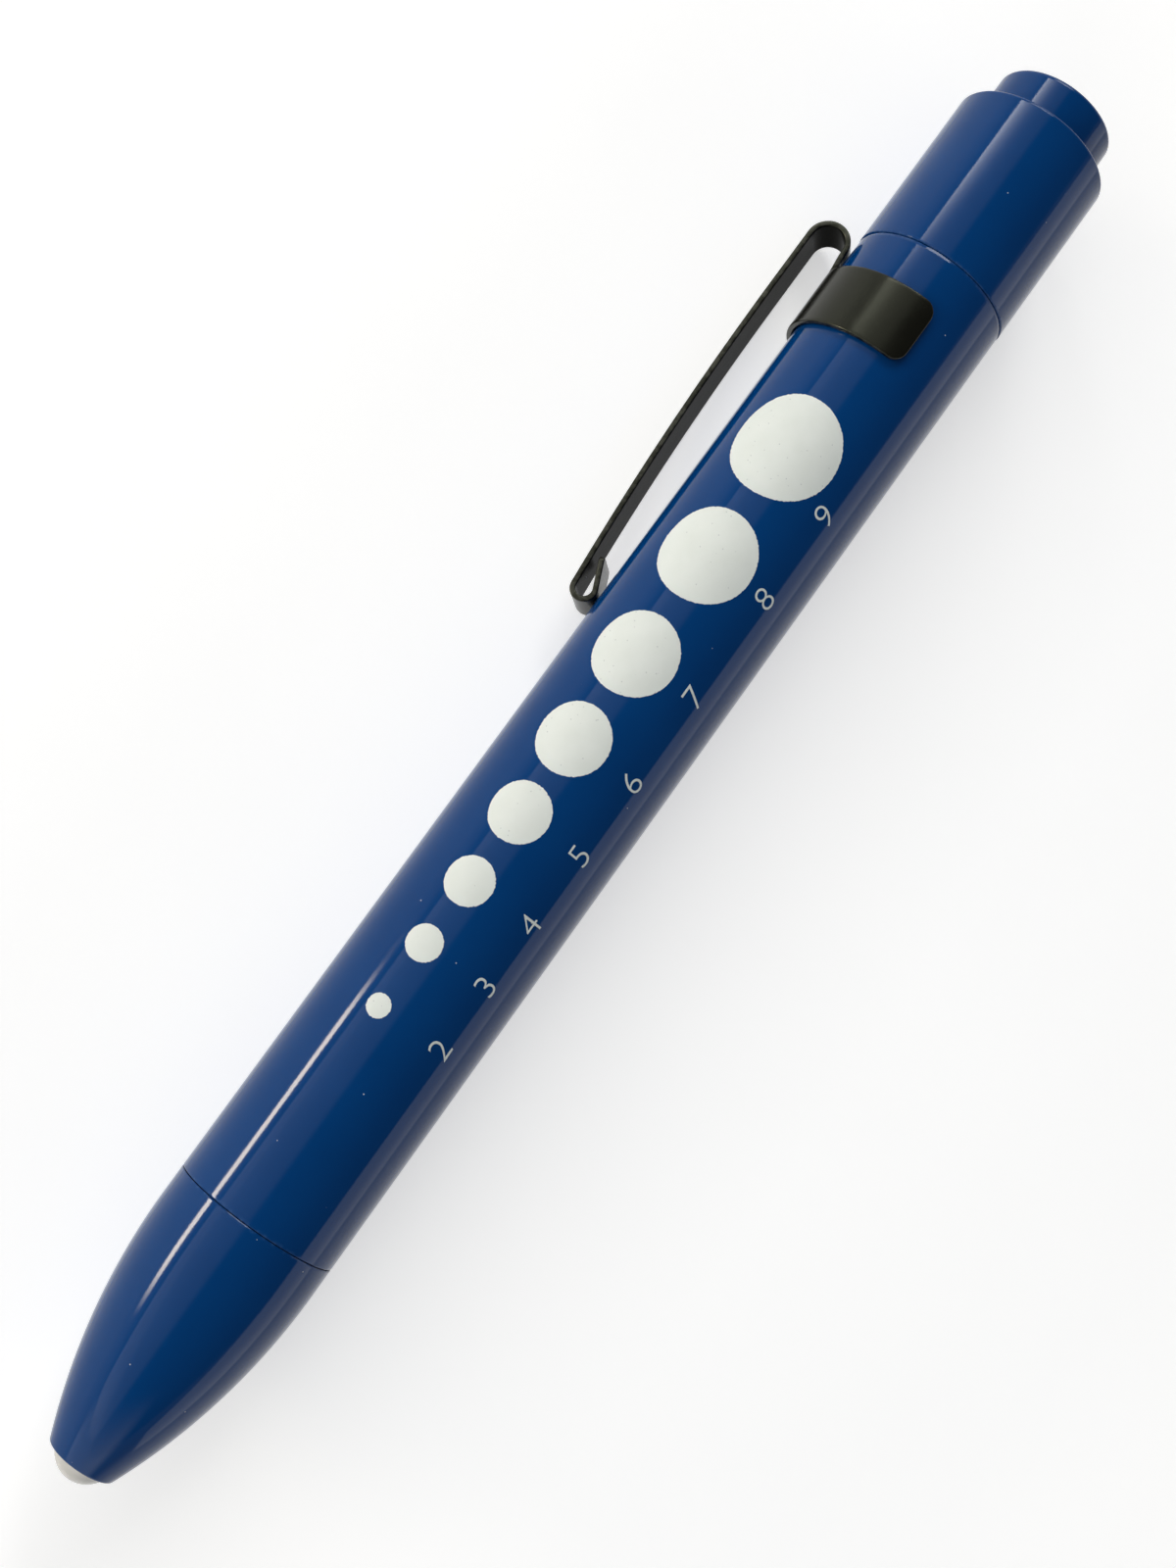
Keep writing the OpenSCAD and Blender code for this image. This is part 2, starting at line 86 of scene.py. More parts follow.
# %% [markdown]
# ## The pen's own millimetres
# The pen lies on its clip, which points aside and down by a little over a third of a right angle, so world
# axes are awkward to model in. Each piece is drawn in the pen's own frame instead: x points out to the
# clip, z runs along the axis from the nose seam to the button, and lengths are millimetres. One matrix then
# carries a mesh to the world.

# %% The pen's frame
MM = 0.001
spigot_len = 5.0
along = Vector((1, 0, 0))
side = -Vector(joints["clip_flex"]["axis"]).normalized()
out = side.cross(along)
axis_point = Vector(joints["nose_turn"]["pos_m"])
seam_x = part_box("barrel")[0].x + spigot_len * MM
origin = Vector((seam_x, axis_point.y, axis_point.z))
turned = Matrix((out, side, along)).transposed().to_4x4()
pen = Matrix.Translation(origin) @ turned @ Matrix.Scale(MM, 4)


def reach(node):
    """First and last place of a piece along the pen."""
    low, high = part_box(node)
    return (low.x - seam_x) / MM, (high.x - seam_x) / MM


def radius_of(node):
    """Largest radius of a turned piece."""
    return (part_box(node)[1].z - axis_point.z) / MM


def around(azimuth, radius, place):
    """World point at an angle from the clip, a distance from the axis and a place along the pen."""
    angle = math.radians(azimuth)
    return pen @ Vector((radius * math.cos(angle), radius * math.sin(angle), place))


barrel_r = radius_of("barrel")
barrel_len = reach("barrel")[1] - spigot_len
print(f"barrel: radius {barrel_r:.2f} mm, {barrel_len:.2f} mm between its seams")

# %% [markdown]
# ## The camera
# A camera is matched to a photograph by its lens, its distance and its roll. Here it hangs 150 mm off the
# axis, a little past square to the clip and nearer the nose than the button, so the pen seems to narrow
# towards the top. The matrix is built from the pen's axis, because aiming alone would leave the roll open.

# %% Camera
camera_azimuth = 104.0
camera_distance = 149.7
camera_place = 21.1
camera_lens = 44.68
nearest_seen = 0.01
aim_place = 41.04
aim_aside = 1.08
axis_tilt = math.radians(54.14)

camera = bpy.data.objects.new("camera", bpy.data.cameras.new("camera"))
camera.data.lens = camera_lens
camera.data.clip_start = nearest_seen
bpy.context.scene.collection.objects.link(camera)
bpy.context.scene.camera = camera

eye = around(camera_azimuth, camera_distance, camera_place)
aim = around(camera_azimuth + 90, aim_aside, aim_place)
toward_eye = (eye - aim).normalized()
axis_seen = (along - along.dot(toward_eye) * toward_eye).normalized()
across_seen = toward_eye.cross(axis_seen)
right = math.cos(axis_tilt) * axis_seen - math.sin(axis_tilt) * across_seen
up = math.sin(axis_tilt) * axis_seen + math.cos(axis_tilt) * across_seen
camera.matrix_world = Matrix.Translation(eye) @ Matrix((right, up, toward_eye)).transposed().to_4x4()
print("camera at", [round(value / MM, 1) for value in eye], "mm")

# %% [markdown]
# ## Outlines and turning
# Nose, barrel, cap, button and lamp are all turned on a lathe, so each is an outline swept round the axis.
# A Screw modifier would do it too, but in code the poles close and each face can know its finish. No real
# edge is sharp: every corner of an outline has a radius, and a guard point on each side of the arc keeps
# the flats flat when the shading is smooth.

# %% Rounded outlines
ARC_STEPS = 6
GUARD = 0.04


def rounded(corners):
    """Points of an outline whose corners (x, y, radius) are rounded off by arcs."""
    points = []
    for index, (x, y, radius) in enumerate(corners):
        corner = Vector((x, y))
        if radius == 0:
            points.append(corner)
            continue
        back = (Vector(corners[index - 1][:2]) - corner).normalized()
        ahead = (Vector(corners[(index + 1) % len(corners)][:2]) - corner).normalized()
        half = back.angle(ahead) / 2
        tangent = radius / math.tan(half)
        centre = corner + (back + ahead).normalized() * radius / math.sin(half)
        spoke = corner + back * tangent - centre
        turn = spoke.angle_signed(corner + ahead * tangent - centre)
        points.append(corner + back * (tangent + GUARD))
        for step in range(ARC_STEPS + 1):
            points.append(centre + Matrix.Rotation(-turn * step / ARC_STEPS, 2) @ spoke)
        points.append(corner + ahead * (tangent + GUARD))
    return points


def arc(centre_y, radius, start, end, steps, lift=0.0):
    """Corners along an arc about a point on the line x = lift, from one y to another."""
    rows = [start + (end - start) * step / steps for step in range(steps + 1)]
    return [(lift + math.sqrt(max(radius**2 - (y - centre_y)**2, 0)), y, 0) for y in rows]


print("corner arcs have", ARC_STEPS, "steps")

# %% Turning
SIDES = 192
ON_AXIS = 1e-4


def lathe(outline, closed=True):
    """Turns an outline of (radius, place) points round the axis."""
    shape = bmesh.new()
    rings = []
    for radius, place in outline:
        count = 1 if radius < ON_AXIS else SIDES
        angles = [2 * math.pi * k / SIDES for k in range(count)]
        spots = [(radius * math.cos(a), radius * math.sin(a), place) for a in angles]
        rings.append([shape.verts.new(spot) for spot in spots])
    followers = rings[1:] + (rings[:1] if closed else [])
    for one, two in zip(rings, followers):
        for k in range(SIDES):
            after = k + 1
            corners = [one[k % len(one)], one[after % len(one)],
                       two[after % len(two)], two[k % len(two)]]
            shape.faces.new(list(dict.fromkeys(corners)))
    bmesh.ops.recalc_face_normals(shape, faces=shape.faces)
    return shape


print("turned pieces have", SIDES, "sides")

# %% Faces, meshes and pieces
SHARP_ANGLE = math.radians(35)


def finish_faces(shape, is_bare):
    """Gives the second finish to each face that is_bare picks by its radius and place."""
    for face in shape.faces:
        centre = face.calc_center_median()
        face.material_index = int(is_bare(centre.xy.length, centre.z))
    return shape


def to_mesh(shape, name):
    """Turns a working shape into a smooth-shaded mesh."""
    for face in shape.faces:
        face.smooth = True
    mesh = bpy.data.meshes.new(name)
    shape.to_mesh(mesh)
    shape.free()
    mesh.set_sharp_from_angle(angle=SHARP_ANGLE)
    return mesh


def place_piece(name, mesh, materials=()):
    """Carries a mesh from the pen's millimetres to the world as an object at the origin."""
    mesh.transform(pen)
    for material in materials:
        mesh.materials.append(material)
    thing = bpy.data.objects.new(name, mesh)
    bpy.context.scene.collection.objects.link(thing)
    print(f"{name}: {len(mesh.polygons)} faces")
    return thing


print("edges that turn by more than", round(math.degrees(SHARP_ANGLE)), "degrees stay sharp")

# %% [markdown]
# ## Shader arithmetic
# Node trees are easier to read as sums. A small class wraps a socket: adding or multiplying two of them
# makes a Math node, and one method makes any other node. Materials below then read as recipes.

# %% Sockets that can be added up
class Wire:
    """One socket of a node tree, for use in ordinary arithmetic."""

    def __init__(self, socket):
        self.socket = socket

    def node(self, kind, settings=None, inputs=None, output=0):
        """Adds a node to this tree, sets it, wires its inputs and returns one of its outputs."""
        tree = self.socket.id_data
        made = tree.nodes.new(kind)
        for key, value in (settings or {}).items():
            setattr(made, key, value)
        for key, value in (inputs or {}).items():
            socket = next(s for s in made.inputs if s.enabled and key in (s.identifier, s.name))
            if isinstance(value, Wire):
                tree.links.new(value.socket, socket)
            else:
                socket.default_value = value
        shown = [socket for socket in made.outputs if socket.enabled]
        return Wire(shown[output]) if shown else None

    def maths(self, operation, *values):
        """One Math node on one or two values."""
        inputs = dict(zip(("Value", "Value_001"), values))
        return self.node("ShaderNodeMath", {"operation": operation}, inputs)

    def __add__(self, other):
        return self.maths("ADD", self, other)

    def __radd__(self, other):
        return self.maths("ADD", other, self)

    def __sub__(self, other):
        return self.maths("SUBTRACT", self, other)

    def __rsub__(self, other):
        return self.maths("SUBTRACT", other, self)

    def __mul__(self, other):
        return self.maths("MULTIPLY", self, other)

    def __rmul__(self, other):
        return self.maths("MULTIPLY", other, self)

    def __truediv__(self, other):
        return self.maths("DIVIDE", self, other)

    def __rtruediv__(self, other):
        return self.maths("DIVIDE", other, self)

    def __pow__(self, other):
        return self.maths("POWER", self, other)

    def __abs__(self):
        return self.maths("ABSOLUTE", self)

    def fade(self, low, high):
        """A soft step: 0 at low and 1 at high, whichever is the larger."""
        return self.node("ShaderNodeMapRange", {"interpolation_type": "SMOOTHSTEP"},
                         {"Value": self, "From Min": low, "From Max": high})

    def parts(self):
        """The three numbers of a vector."""
        return [self.node("ShaderNodeSeparateXYZ", None, {"Vector": self}, k) for k in range(3)]

    def noise(self, scale, detail=2.0):
        """Cloudy values from 0 to 1, with about this many blotches to a millimetre."""
        return self.node("ShaderNodeTexNoise", None, {"Vector": self, "Scale": scale, "Detail": detail})

    def stretched(self, x, y, z):
        """The same place with its axes stretched, for grain and scratches."""
        return self.node("ShaderNodeVectorMath", {"operation": "MULTIPLY"},
                         {"Vector": self, "Vector_001": (x, y, z)})

    def specks(self, scale, size, core=0.6):
        """1 inside small dots that lie scattered about 1/scale apart, and soft outside their core."""
        far = self.node("ShaderNodeTexVoronoi", None, {"Vector": self, "Scale": scale})
        return far.fade(size * scale, core * size * scale)

    def tint(self, first, second):
        """Goes from one colour to another as this value goes from 0 to 1."""
        return self.node("ShaderNodeMix", {"data_type": "RGBA"}, {"Factor": self, "A": first, "B": second})

    def bump(self):
        """Normals for this height in millimetres."""
        return self.node("ShaderNodeBump", None, {"Height": self, "Strength": 1.0, "Distance": MM})


print("a wire knows", len([name for name in vars(Wire) if callable(getattr(Wire, name))]), "methods")

# %% Colours and materials
def srgb(red, green, blue):
    """A colour written as on a screen, 0 to 255, turned to the linear values that shaders use."""
    shares = [value / 255 for value in (red, green, blue)]
    return (*[s / 12.92 if s < 0.04045 else ((s + 0.055) / 1.055)**2.4 for s in shares], 1.0)


def start(name):
    """A new material, and its place in millimetres from the nose seam on the axis."""
    material = bpy.data.materials.new(name)
    material.use_nodes = True
    material.node_tree.nodes.clear()
    corner = Wire(material.node_tree.nodes.new("ShaderNodeTexCoord").outputs["Object"])
    place = corner.node("ShaderNodeMapping", None,
                        {"Vector": corner, "Location": -origin / MM, "Scale": (1 / MM,) * 3})
    return material, place


def dress(material, place, inputs):
    """Ends a material in one Principled shader."""
    shader = place.node("ShaderNodeBsdfPrincipled", None, inputs)
    place.node("ShaderNodeOutputMaterial", None, {"Surface": shader})
    print(f"{material.name}: {len(material.node_tree.nodes)} nodes")
    return material


print("a soft grey of 186 is", round(srgb(186, 186, 186)[0], 2), "in linear light")

# %% [markdown]
# ## Blue lacquer
# The shells are aluminium under a hard gloss lacquer. It looks deep because it mirrors little: a low index
# of refraction keeps the white floor from washing it out, and small bright lamps give the shine. Slow
# clouds vary the blue, a faint orange peel bends the mirror, the edges at seams and ends are painted paler,
# partly as wear and partly as a painted highlight, and a little dust sticks.

# %% Blue lacquer
cap_end = reach("cap_shell")[1]
button_end = reach("push_button")[1]
button_r = 5.25
# Edges whose paler band is partly wear and partly a painted highlight.
worn_and_highlit_edges = ((0.0, barrel_r), (barrel_len, barrel_r), (cap_end, barrel_r), (button_end, button_r))
edge_band = 0.35


def blue_lacquer():
    material, place = start("blue_lacquer")
    along_pen, one, two = place.parts()
    radius = (one * one + two * two)**0.5
    clouds = place.noise(0.18, 3.0)
    blue = clouds.tint(srgb(0, 56, 114), srgb(2, 62, 122))
    edge = sum(abs(along_pen - spot).fade(edge_band, 0) * radius.fade(edge_r - edge_band, edge_r)
               for spot, edge_r in worn_and_highlit_edges)
    # Paler blue at these edges: partly worn paint, partly a painted highlight along the seams and ends.
    rubbed_and_highlit = edge * place.noise(2.5, 3.0).fade(0.42, 0.7)
    dust = place.specks(0.45, 0.06)
    colour = dust.tint((0.3 * rubbed_and_highlit).tint(blue, srgb(74, 112, 160)), srgb(205, 210, 215))
    peel = 0.0008 * place.noise(0.9, 1.0) + 0.006 * dust
    smear = place.stretched(0.25, 1, 1).noise(1.4, 4.0)
    return dress(material, place, {
        "Base Color": colour,
        "Roughness": 0.05 + 0.05 * smear + 0.4 * dust + 0.12 * rubbed_and_highlit,
        "IOR": 1.3,
        "Normal": peel.bump()})


lacquer = blue_lacquer()

# %% [markdown]
# ## Bare aluminium
# Under the lacquer, in bores and on the threaded spigots, the metal stays as the lathe left it. Fine rings
# run round the axis, so the noise is squeezed along the pen until it turns into lines.

# %% Turned metal
def turned_metal(name, colour, roughness):
    material, place = start(name)
    rings = place.stretched(9, 0.15, 0.15).noise(1.0, 2.0)
    stain = place.noise(0.4, 3.0)
    tone = stain.tint(colour, tuple(0.8 * value for value in colour[:3]) + (1.0,))
    return dress(material, place, {
        "Base Color": tone,
        "Metallic": 1.0,
        "Roughness": roughness + 0.12 * rings + 0.06 * stain,
        "Normal": (0.004 * rings).bump()})


bare_aluminium = turned_metal("bare_aluminium", srgb(214, 216, 219), 0.26)

# %% [markdown]
# ## The nose
# The nose is a short land at the seam, then one long arc down to a thin rim round the lamp. The arc starts
# tangent to the land, which is why no line shows where they meet. Inside, steps seat the lamp and holder.

# %% The taper's arc
nose_tip, nose_mouth = reach("nose_shell")
nose_land = 2.3
rim_r = 2.8
taper = nose_tip + nose_land
taper_drop = barrel_r - rim_r
taper_r = (taper**2 + taper_drop**2) / (2 * taper_drop)


def nose_radius(place):
    """Outer radius of the nose at a place along the pen."""
    return barrel_r - taper_r + math.sqrt(taper_r**2 - min(place + nose_land, 0)**2)


print(f"the taper follows an arc of {taper_r:.1f} mm")

# %% Nose
taper_steps = 48
rim_round = 0.3
mouth_drop = 0.05
mouth_edge = 0.03
mouth_depth = 0.09
mouth_round = 0.05
lamp_r = 2.5
dome_place = reach("led_lamp")[0] + lamp_r
seat_r = 2.55
seat_steps = 6
flange_bore_r = 3.0
flange_seat = -15.6
holder_bore_r = 4.75
holder_seat = -12.6
socket_r = 6.05
socket_floor = -5.3
socket_round = 0.1
lacquer_depth = 0.6

mouth = [(barrel_r - mouth_drop, nose_mouth, mouth_edge), (barrel_r, nose_mouth - mouth_depth, mouth_round)]
outside = arc(-nose_land, taper_r, -nose_land, nose_tip, taper_steps, barrel_r - taper_r)[:-1]
rim = [(rim_r, nose_tip, rim_round)]
seat = arc(dome_place, seat_r, nose_tip, dome_place, seat_steps)
bores = [
    (seat_r, flange_seat, 0),
    (flange_bore_r, flange_seat, 0),
    (flange_bore_r, holder_seat, 0),
    (holder_bore_r, holder_seat, 0),
    (holder_bore_r, socket_floor, 0),
    (socket_r, socket_floor, 0),
    (socket_r, nose_mouth, socket_round)]
nose_outline = rounded(mouth + outside + rim + seat + bores)
nose_shape = finish_faces(lathe(nose_outline), lambda r, z: r < nose_radius(z) - lacquer_depth)
nose = place_piece("nose", to_mesh(nose_shape, "nose"), (lacquer, bare_aluminium))
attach(nose, "nose")
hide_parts("nose_shell")

# %% [markdown]
# ## The barrel
# The barrel is a plain tube with a thinner spigot at each end that carries the thread. Its shoulders are
# broken edges, so each seam reads as a fine groove with a bright lip.

# %% Barrel
seam_round = 0.12
bore_r = 5.45
bore_round = 0.05
thread_root_r = 5.7
root_round = 0.05
lead_in = 0.1
lip_len = 0.26
lip_round = 0.2
lip_drop = 0.06
lip_edge = 0.04
barrel_outline = rounded([
    (bore_r, -spigot_len, bore_round),
    (thread_root_r, -spigot_len, lead_in),
    (thread_root_r, 0, root_round),
    (barrel_r, 0, seam_round),
    (barrel_r, barrel_len - lip_len, lip_round),
    (barrel_r - lip_drop, barrel_len, lip_edge),
    (thread_root_r, barrel_len, root_round),
    (thread_root_r, barrel_len + spigot_len, lead_in),
    (bore_r, barrel_len + spigot_len, bore_round)])
barrel_shape = finish_faces(lathe(barrel_outline), lambda r, z: r < barrel_r - lacquer_depth)
barrel = place_piece("barrel_tube", to_mesh(barrel_shape, "barrel_tube"), (lacquer, bare_aluminium))
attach(barrel, "barrel")
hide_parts("barrel")

# %% [markdown]
# ## Helices: threads and springs
# A thread and a spring are the same thing to Geometry Nodes: a profile swept along a spiral. One tree takes
# the turns, the radii and the height as inputs, and the profile decides what it becomes: a trapezoid for
# the screw threads on the spigots, a circle for spring wire.

# %% Trees with named inputs
def new_tree(name, sizes):
    """An empty geometry tree, with wires from its named inputs."""
    tree = bpy.data.node_groups.new(name, "GeometryNodeTree")
    tree.interface.new_socket("Geometry", in_out="INPUT", socket_type="NodeSocketGeometry")
    for label, kind in sizes.items():
        tree.interface.new_socket(label, in_out="INPUT", socket_type=kind)
    tree.interface.new_socket("Geometry", in_out="OUTPUT", socket_type="NodeSocketGeometry")
    given = tree.nodes.new("NodeGroupInput")
    return tree, {socket.name: Wire(socket) for socket in given.outputs if socket.name}


def close_tree(geometry, material):
    """Ends a tree: real faces, smooth, in their finish."""
    real = geometry.node("GeometryNodeRealizeInstances", None, {"Geometry": geometry})
    smooth = real.node("GeometryNodeSetShadeSmooth", None, {"Geometry": real})
    done = smooth.node("GeometryNodeSetMaterial", None, {"Geometry": smooth, "Material": material})
    done.node("NodeGroupOutput", None, {"Geometry": done})


def settled(thing):
    """An object as a plain mesh, with its modifiers worked in. The object itself goes."""
    bpy.context.scene.collection.objects.link(thing)
    mesh = bpy.data.meshes.new_from_object(thing.evaluated_get(bpy.context.evaluated_depsgraph_get()))
    bpy.data.objects.remove(thing)
    return mesh


def grow(tree, values, base=None):
    """Runs a tree with these sizes and returns the result as a plain mesh."""
    holder = bpy.data.objects.new(tree.name, base or bpy.data.meshes.new(tree.name))
    modifier = holder.modifiers.new(tree.name, "NODES")
    modifier.node_group = tree
    for item in tree.interface.items_tree:
        if item.in_out == "INPUT" and item.name in values:
            modifier[item.identifier] = values[item.name]
    mesh = settled(holder)
    mesh.set_sharp_from_angle(angle=SHARP_ANGLE)
    return mesh


print("a tree takes named sizes and gives a plain mesh")

# %% A tree for helices
def helix_tree(name, profile, profile_sizes, material):
    """A tree that sweeps a profile along a spiral."""
    labels = ("Turns", "First radius", "Last radius", "Height", *profile_sizes)
    sizes = dict.fromkeys(labels, "NodeSocketFloat")
    tree, given = new_tree(name, {**sizes, "Points a turn": "NodeSocketInt"})
    spiral = given["Turns"].node("GeometryNodeCurveSpiral", None, {
        "Resolution": given["Points a turn"],
        "Rotations": given["Turns"],
        "Start Radius": given["First radius"],
        "End Radius": given["Last radius"],
        "Height": given["Height"]})
    level = spiral.node("GeometryNodeSetCurveNormal", {"mode": "Z_UP"}, {"Curve": spiral})
    swept = level.node("GeometryNodeCurveToMesh", None, {
        "Curve": level, "Profile Curve": profile(given), "Fill Caps": True})
    close_tree(swept, material)
    return tree


def thread_ridge(given):
    """A trapezoid that stands outwards on the spiral."""
    ridge = given["Ridge"].node("GeometryNodeCurvePrimitiveQuadrilateral", {"mode": "TRAPEZOID"}, {
        "Height": given["Ridge"],
        "Bottom Width": given["Foot"],
        "Top Width": given["Crest"],
        "Offset": 0.0})
    return ridge.node("GeometryNodeTransform", None, {"Geometry": ridge, "Rotation": (0, 0, -math.pi / 2)})


thread_tree = helix_tree("screw_thread", thread_ridge, ("Ridge", "Foot", "Crest"), bare_aluminium)
print("helix tree has", len(thread_tree.nodes), "nodes")

# %% Threads on the spigots
pitch = 0.8
crest_r = 6.0
ridge_sunk = 0.05
ridge_foot = 0.62
ridge_crest = 0.2
thread_points = 96
thread_margin = 0.7
thread_len = spigot_len - 2 * thread_margin
ridge_height = crest_r - thread_root_r + ridge_sunk
spiral_r = crest_r - ridge_height / 2
thread_sizes = {
    "Turns": thread_len / pitch,
    "First radius": spiral_r,
    "Last radius": spiral_r,
    "Height": thread_len,
    "Points a turn": thread_points,
    "Ridge": ridge_height,
    "Foot": ridge_foot,
    "Crest": ridge_crest}
thread_starts = {"front_thread": thread_margin - spigot_len, "rear_thread": barrel_len + thread_margin}
for name, first in thread_starts.items():
    mesh = grow(thread_tree, thread_sizes)
    mesh.transform(Matrix.Translation((0, 0, first)))
    thread = place_piece(name, mesh)
    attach(thread, "barrel")

# %% [markdown]
# ## The rear cap and its button
# The cap is a short sleeve with a softly rounded end, and the button stands out of it through a close hole.
# The button is hollow: a thin skin, a flange that keeps it in and a boss that pushes the switch.

# %% Cap
cap_start = reach("cap_shell")[0]
cap_r = radius_of("cap_shell")
cap_round = 0.35
cap_lip = 0.5
hole_r = 5.30
hole_round = 0.12
room_r = 5.75
room_start = 99.7
room_end = 103.3
cap_outline = rounded([
    (cap_r, cap_start, seam_round),
    (cap_r, cap_end, cap_round),
    (hole_r, cap_end, hole_round),
    (hole_r, room_end, 0),
    (room_r, room_end, 0),
    (room_r, room_start, 0),
    (socket_r, room_start, 0),
    (socket_r, cap_start, socket_round)])


def bare_in_cap(radius, place):
    """Whether the lacquer leaves this part of the cap bare."""
    return radius < cap_r - lacquer_depth and place < cap_end - cap_lip


cap_shape = finish_faces(lathe(cap_outline), bare_in_cap)
cap = place_piece("cap", to_mesh(cap_shape, "cap"), (lacquer, bare_aluminium))
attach(cap, "cap")
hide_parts("cap_shell")

# %% Push button
button_start = reach("push_button")[0]
button_round = 0.45
stop_r = 5.70
stop_len = 1
stop_round = 0.08
hollow_r = 4.15
hollow_end = 107.2
hollow_round = 0.3
boss_r = 2.2
boss_end = 102.7
boss_round = 0.15
bare_r = 4.3
button_outline = rounded([
    (0, button_end, 0),
    (button_r, button_end, button_round),
    (button_r, button_start + stop_len, 0),
    (stop_r, button_start + stop_len, stop_round),
    (stop_r, button_start, stop_round),
    (hollow_r, button_start, stop_round),
    (hollow_r, hollow_end, hollow_round),
    (boss_r, hollow_end, hollow_round),
    (boss_r, boss_end, boss_round),
    (0, boss_end, 0)])


def bare_in_button(radius, place):
    """Whether the lacquer leaves this part of the button bare."""
    return radius < bare_r and place < hollow_end + hollow_round


button_shape = finish_faces(lathe(button_outline, closed=False), bare_in_button)
button = place_piece("button", to_mesh(button_shape, "button"), (lacquer, bare_aluminium))
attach(button, "button")
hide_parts("push_button")

# %% [markdown]
# ## The lamp
# The lamp is a 5 mm diode cast in clear resin. A smooth dome in front, a flange behind, and the two flat
# posts of its lead frame inside, one of them with a small bright cup that holds the chip. The resin has
# turned a little milky, which makes the dome pale, and the lead frame shows through as a faint grey.

# %% Clear resin
def clear_resin():
    material, place = start("clear_resin")
    haze = place.noise(0.7, 2.0)
    return dress(material, place, {
        "Base Color": haze.tint(srgb(250, 248, 240), srgb(255, 254, 248)),
        "Roughness": 0.06 + 0.1 * haze,
        "IOR": 1.53,
        "Transmission Weight": 0.32,
        "Normal": (0.003 * haze).bump()})


resin = clear_resin()

# %% Lamp body
lamp_tip, lamp_base = reach("led_lamp")
dome_steps = 32
flange_r = radius_of("led_lamp")
flange_len = 1.0
flange_start = lamp_base - flange_len
flange_root = 0.08
flange_round = 0.1
dome = arc(dome_place, lamp_r, lamp_tip, dome_place, dome_steps)
dome[0] = (0, lamp_tip, 0)
lamp_outline = rounded(dome + [
    (lamp_r, flange_start, flange_root),
    (flange_r, flange_start, flange_round),
    (flange_r, lamp_base, flange_round),
    (0, lamp_base, 0)])
lamp = place_piece("lamp", to_mesh(lathe(lamp_outline, closed=False), "lamp"), (resin,))
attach(lamp, "lamp")
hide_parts("led_lamp")

# %% Tin and phosphor
tinned = turned_metal("tinned_metal", srgb(206, 205, 200), 0.3)


def phosphor_gel():
    material, place = start("phosphor_gel")
    grain = place.noise(6.0, 3.0)
    return dress(material, place, {
        "Base Color": grain.tint(srgb(222, 196, 84), srgb(240, 220, 130)),
        "Roughness": 0.5 + 0.2 * grain,
        "Normal": (0.01 * grain).bump()})


gel = phosphor_gel()

# %% Lead frame and chip
cup_inset = 1.6
cup_place = dome_place + cup_inset
cup_depth = 0.4
cup_height = 0.7
cup_rim_r = 0.95
cup_mouth_r = 0.8
cup_floor_r = 0.55
cup_foot_r = 0.8
cup_round = 0.05
foot_round = 0.1
gel_r = 0.56
gel_film = 0.05
lead_x = 1.27
post_inset = 0.75
post_width = 0.9
post_thick = 0.42
post_edge = 0.08
post_sunk = 0.1
cup_post_drop = 0.6
wire_post_drop = 0.9
post_tops = {-lead_x: cup_place + cup_post_drop, lead_x: cup_place + wire_post_drop}

cup_outline = rounded([
    (0, cup_place + cup_height, 0),
    (cup_foot_r, cup_place + cup_height, foot_round),
    (cup_rim_r, cup_place, cup_round),
    (cup_mouth_r, cup_place, cup_round),
    (cup_floor_r, cup_place + cup_depth, cup_round),
    (0, cup_place + cup_depth, 0)])
frame_shape = lathe(cup_outline, closed=False)
for post_x, post_top in post_tops.items():
    post = bmesh.ops.create_cube(frame_shape, size=1)["verts"]
    middle = (post_x * post_inset, 0, (lamp_base + post_top) / 2 - post_sunk)
    bmesh.ops.scale(frame_shape, vec=(post_width, post_thick, lamp_base - post_top), verts=post)
    bmesh.ops.translate(frame_shape, vec=middle, verts=post)
    edges = list(dict.fromkeys(edge for vert in post for edge in vert.link_edges))
    bmesh.ops.bevel(frame_shape, geom=edges, offset=post_edge, segments=2, profile=0.5, affect="EDGES")
finish_faces(frame_shape, lambda r, z: r < gel_r and abs(z - cup_place - cup_depth) < gel_film)
lead_frame = place_piece("lead_frame", to_mesh(frame_shape, "lead_frame"), (tinned, gel))
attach(lead_frame, "lamp")

# %% [markdown]
# ## The spring clip
# The clip is one strip of spring steel, stamped as a flat T and bent: the crossbar wraps the barrel, the
# stem folds back over itself and the arm runs down to a small teardrop curl that presses on the barrel.
# So it is made the same way here. The flat blank is cut with rounded corners and soft edges, sliced finely
# wherever it will bend, and then each point is carried along the bent path. Thickness stays true
# everywhere, which stacked solids or a swept curve would not give at the T.

# %% Path of the strip
strip = 0.46
strip_w = 3.6
band_outer_r = 7.40
band_inner_r = 6.85
band_mid_r = (band_outer_r + band_inner_r) / 2
band_w = 5.6
band_start = 80.4
band_reach = math.radians(116)
band_half = band_reach * band_mid_r
fold_out, _, fold_place = pen.inverted() @ Vector(joints["clip_flex"]["pos_m"])
fold_outer_r = 1.87
fold_r = fold_outer_r - strip / 2
stem_len = fold_place - band_start - band_w
stem_lift = fold_out - fold_r - band_mid_r
bow_start = 83.0
bow_outer_r = 301.96
bow_turn = math.radians(5.628)
bow_r = bow_outer_r - strip / 2
curl_outer_r = 1.15
curl_heading = math.radians(204)
curl_turn = curl_heading - bow_turn
curl_r = curl_outer_r - strip / 2
curl_leg = 2.8

path = [
    (band_w + stem_len, 0),
    (math.pi * fold_r, math.pi),
    (fold_place - bow_start, 0),
    (bow_turn * bow_r, bow_turn),
    (curl_turn * curl_r, curl_turn),
    (curl_leg, 0)]
strip_len = sum(length for length, turn in path)
print(f"the blank is {2 * band_half:.1f} mm wide and {strip_len:.1f} mm long")

# %% Following the path
FLAT = 1e-6


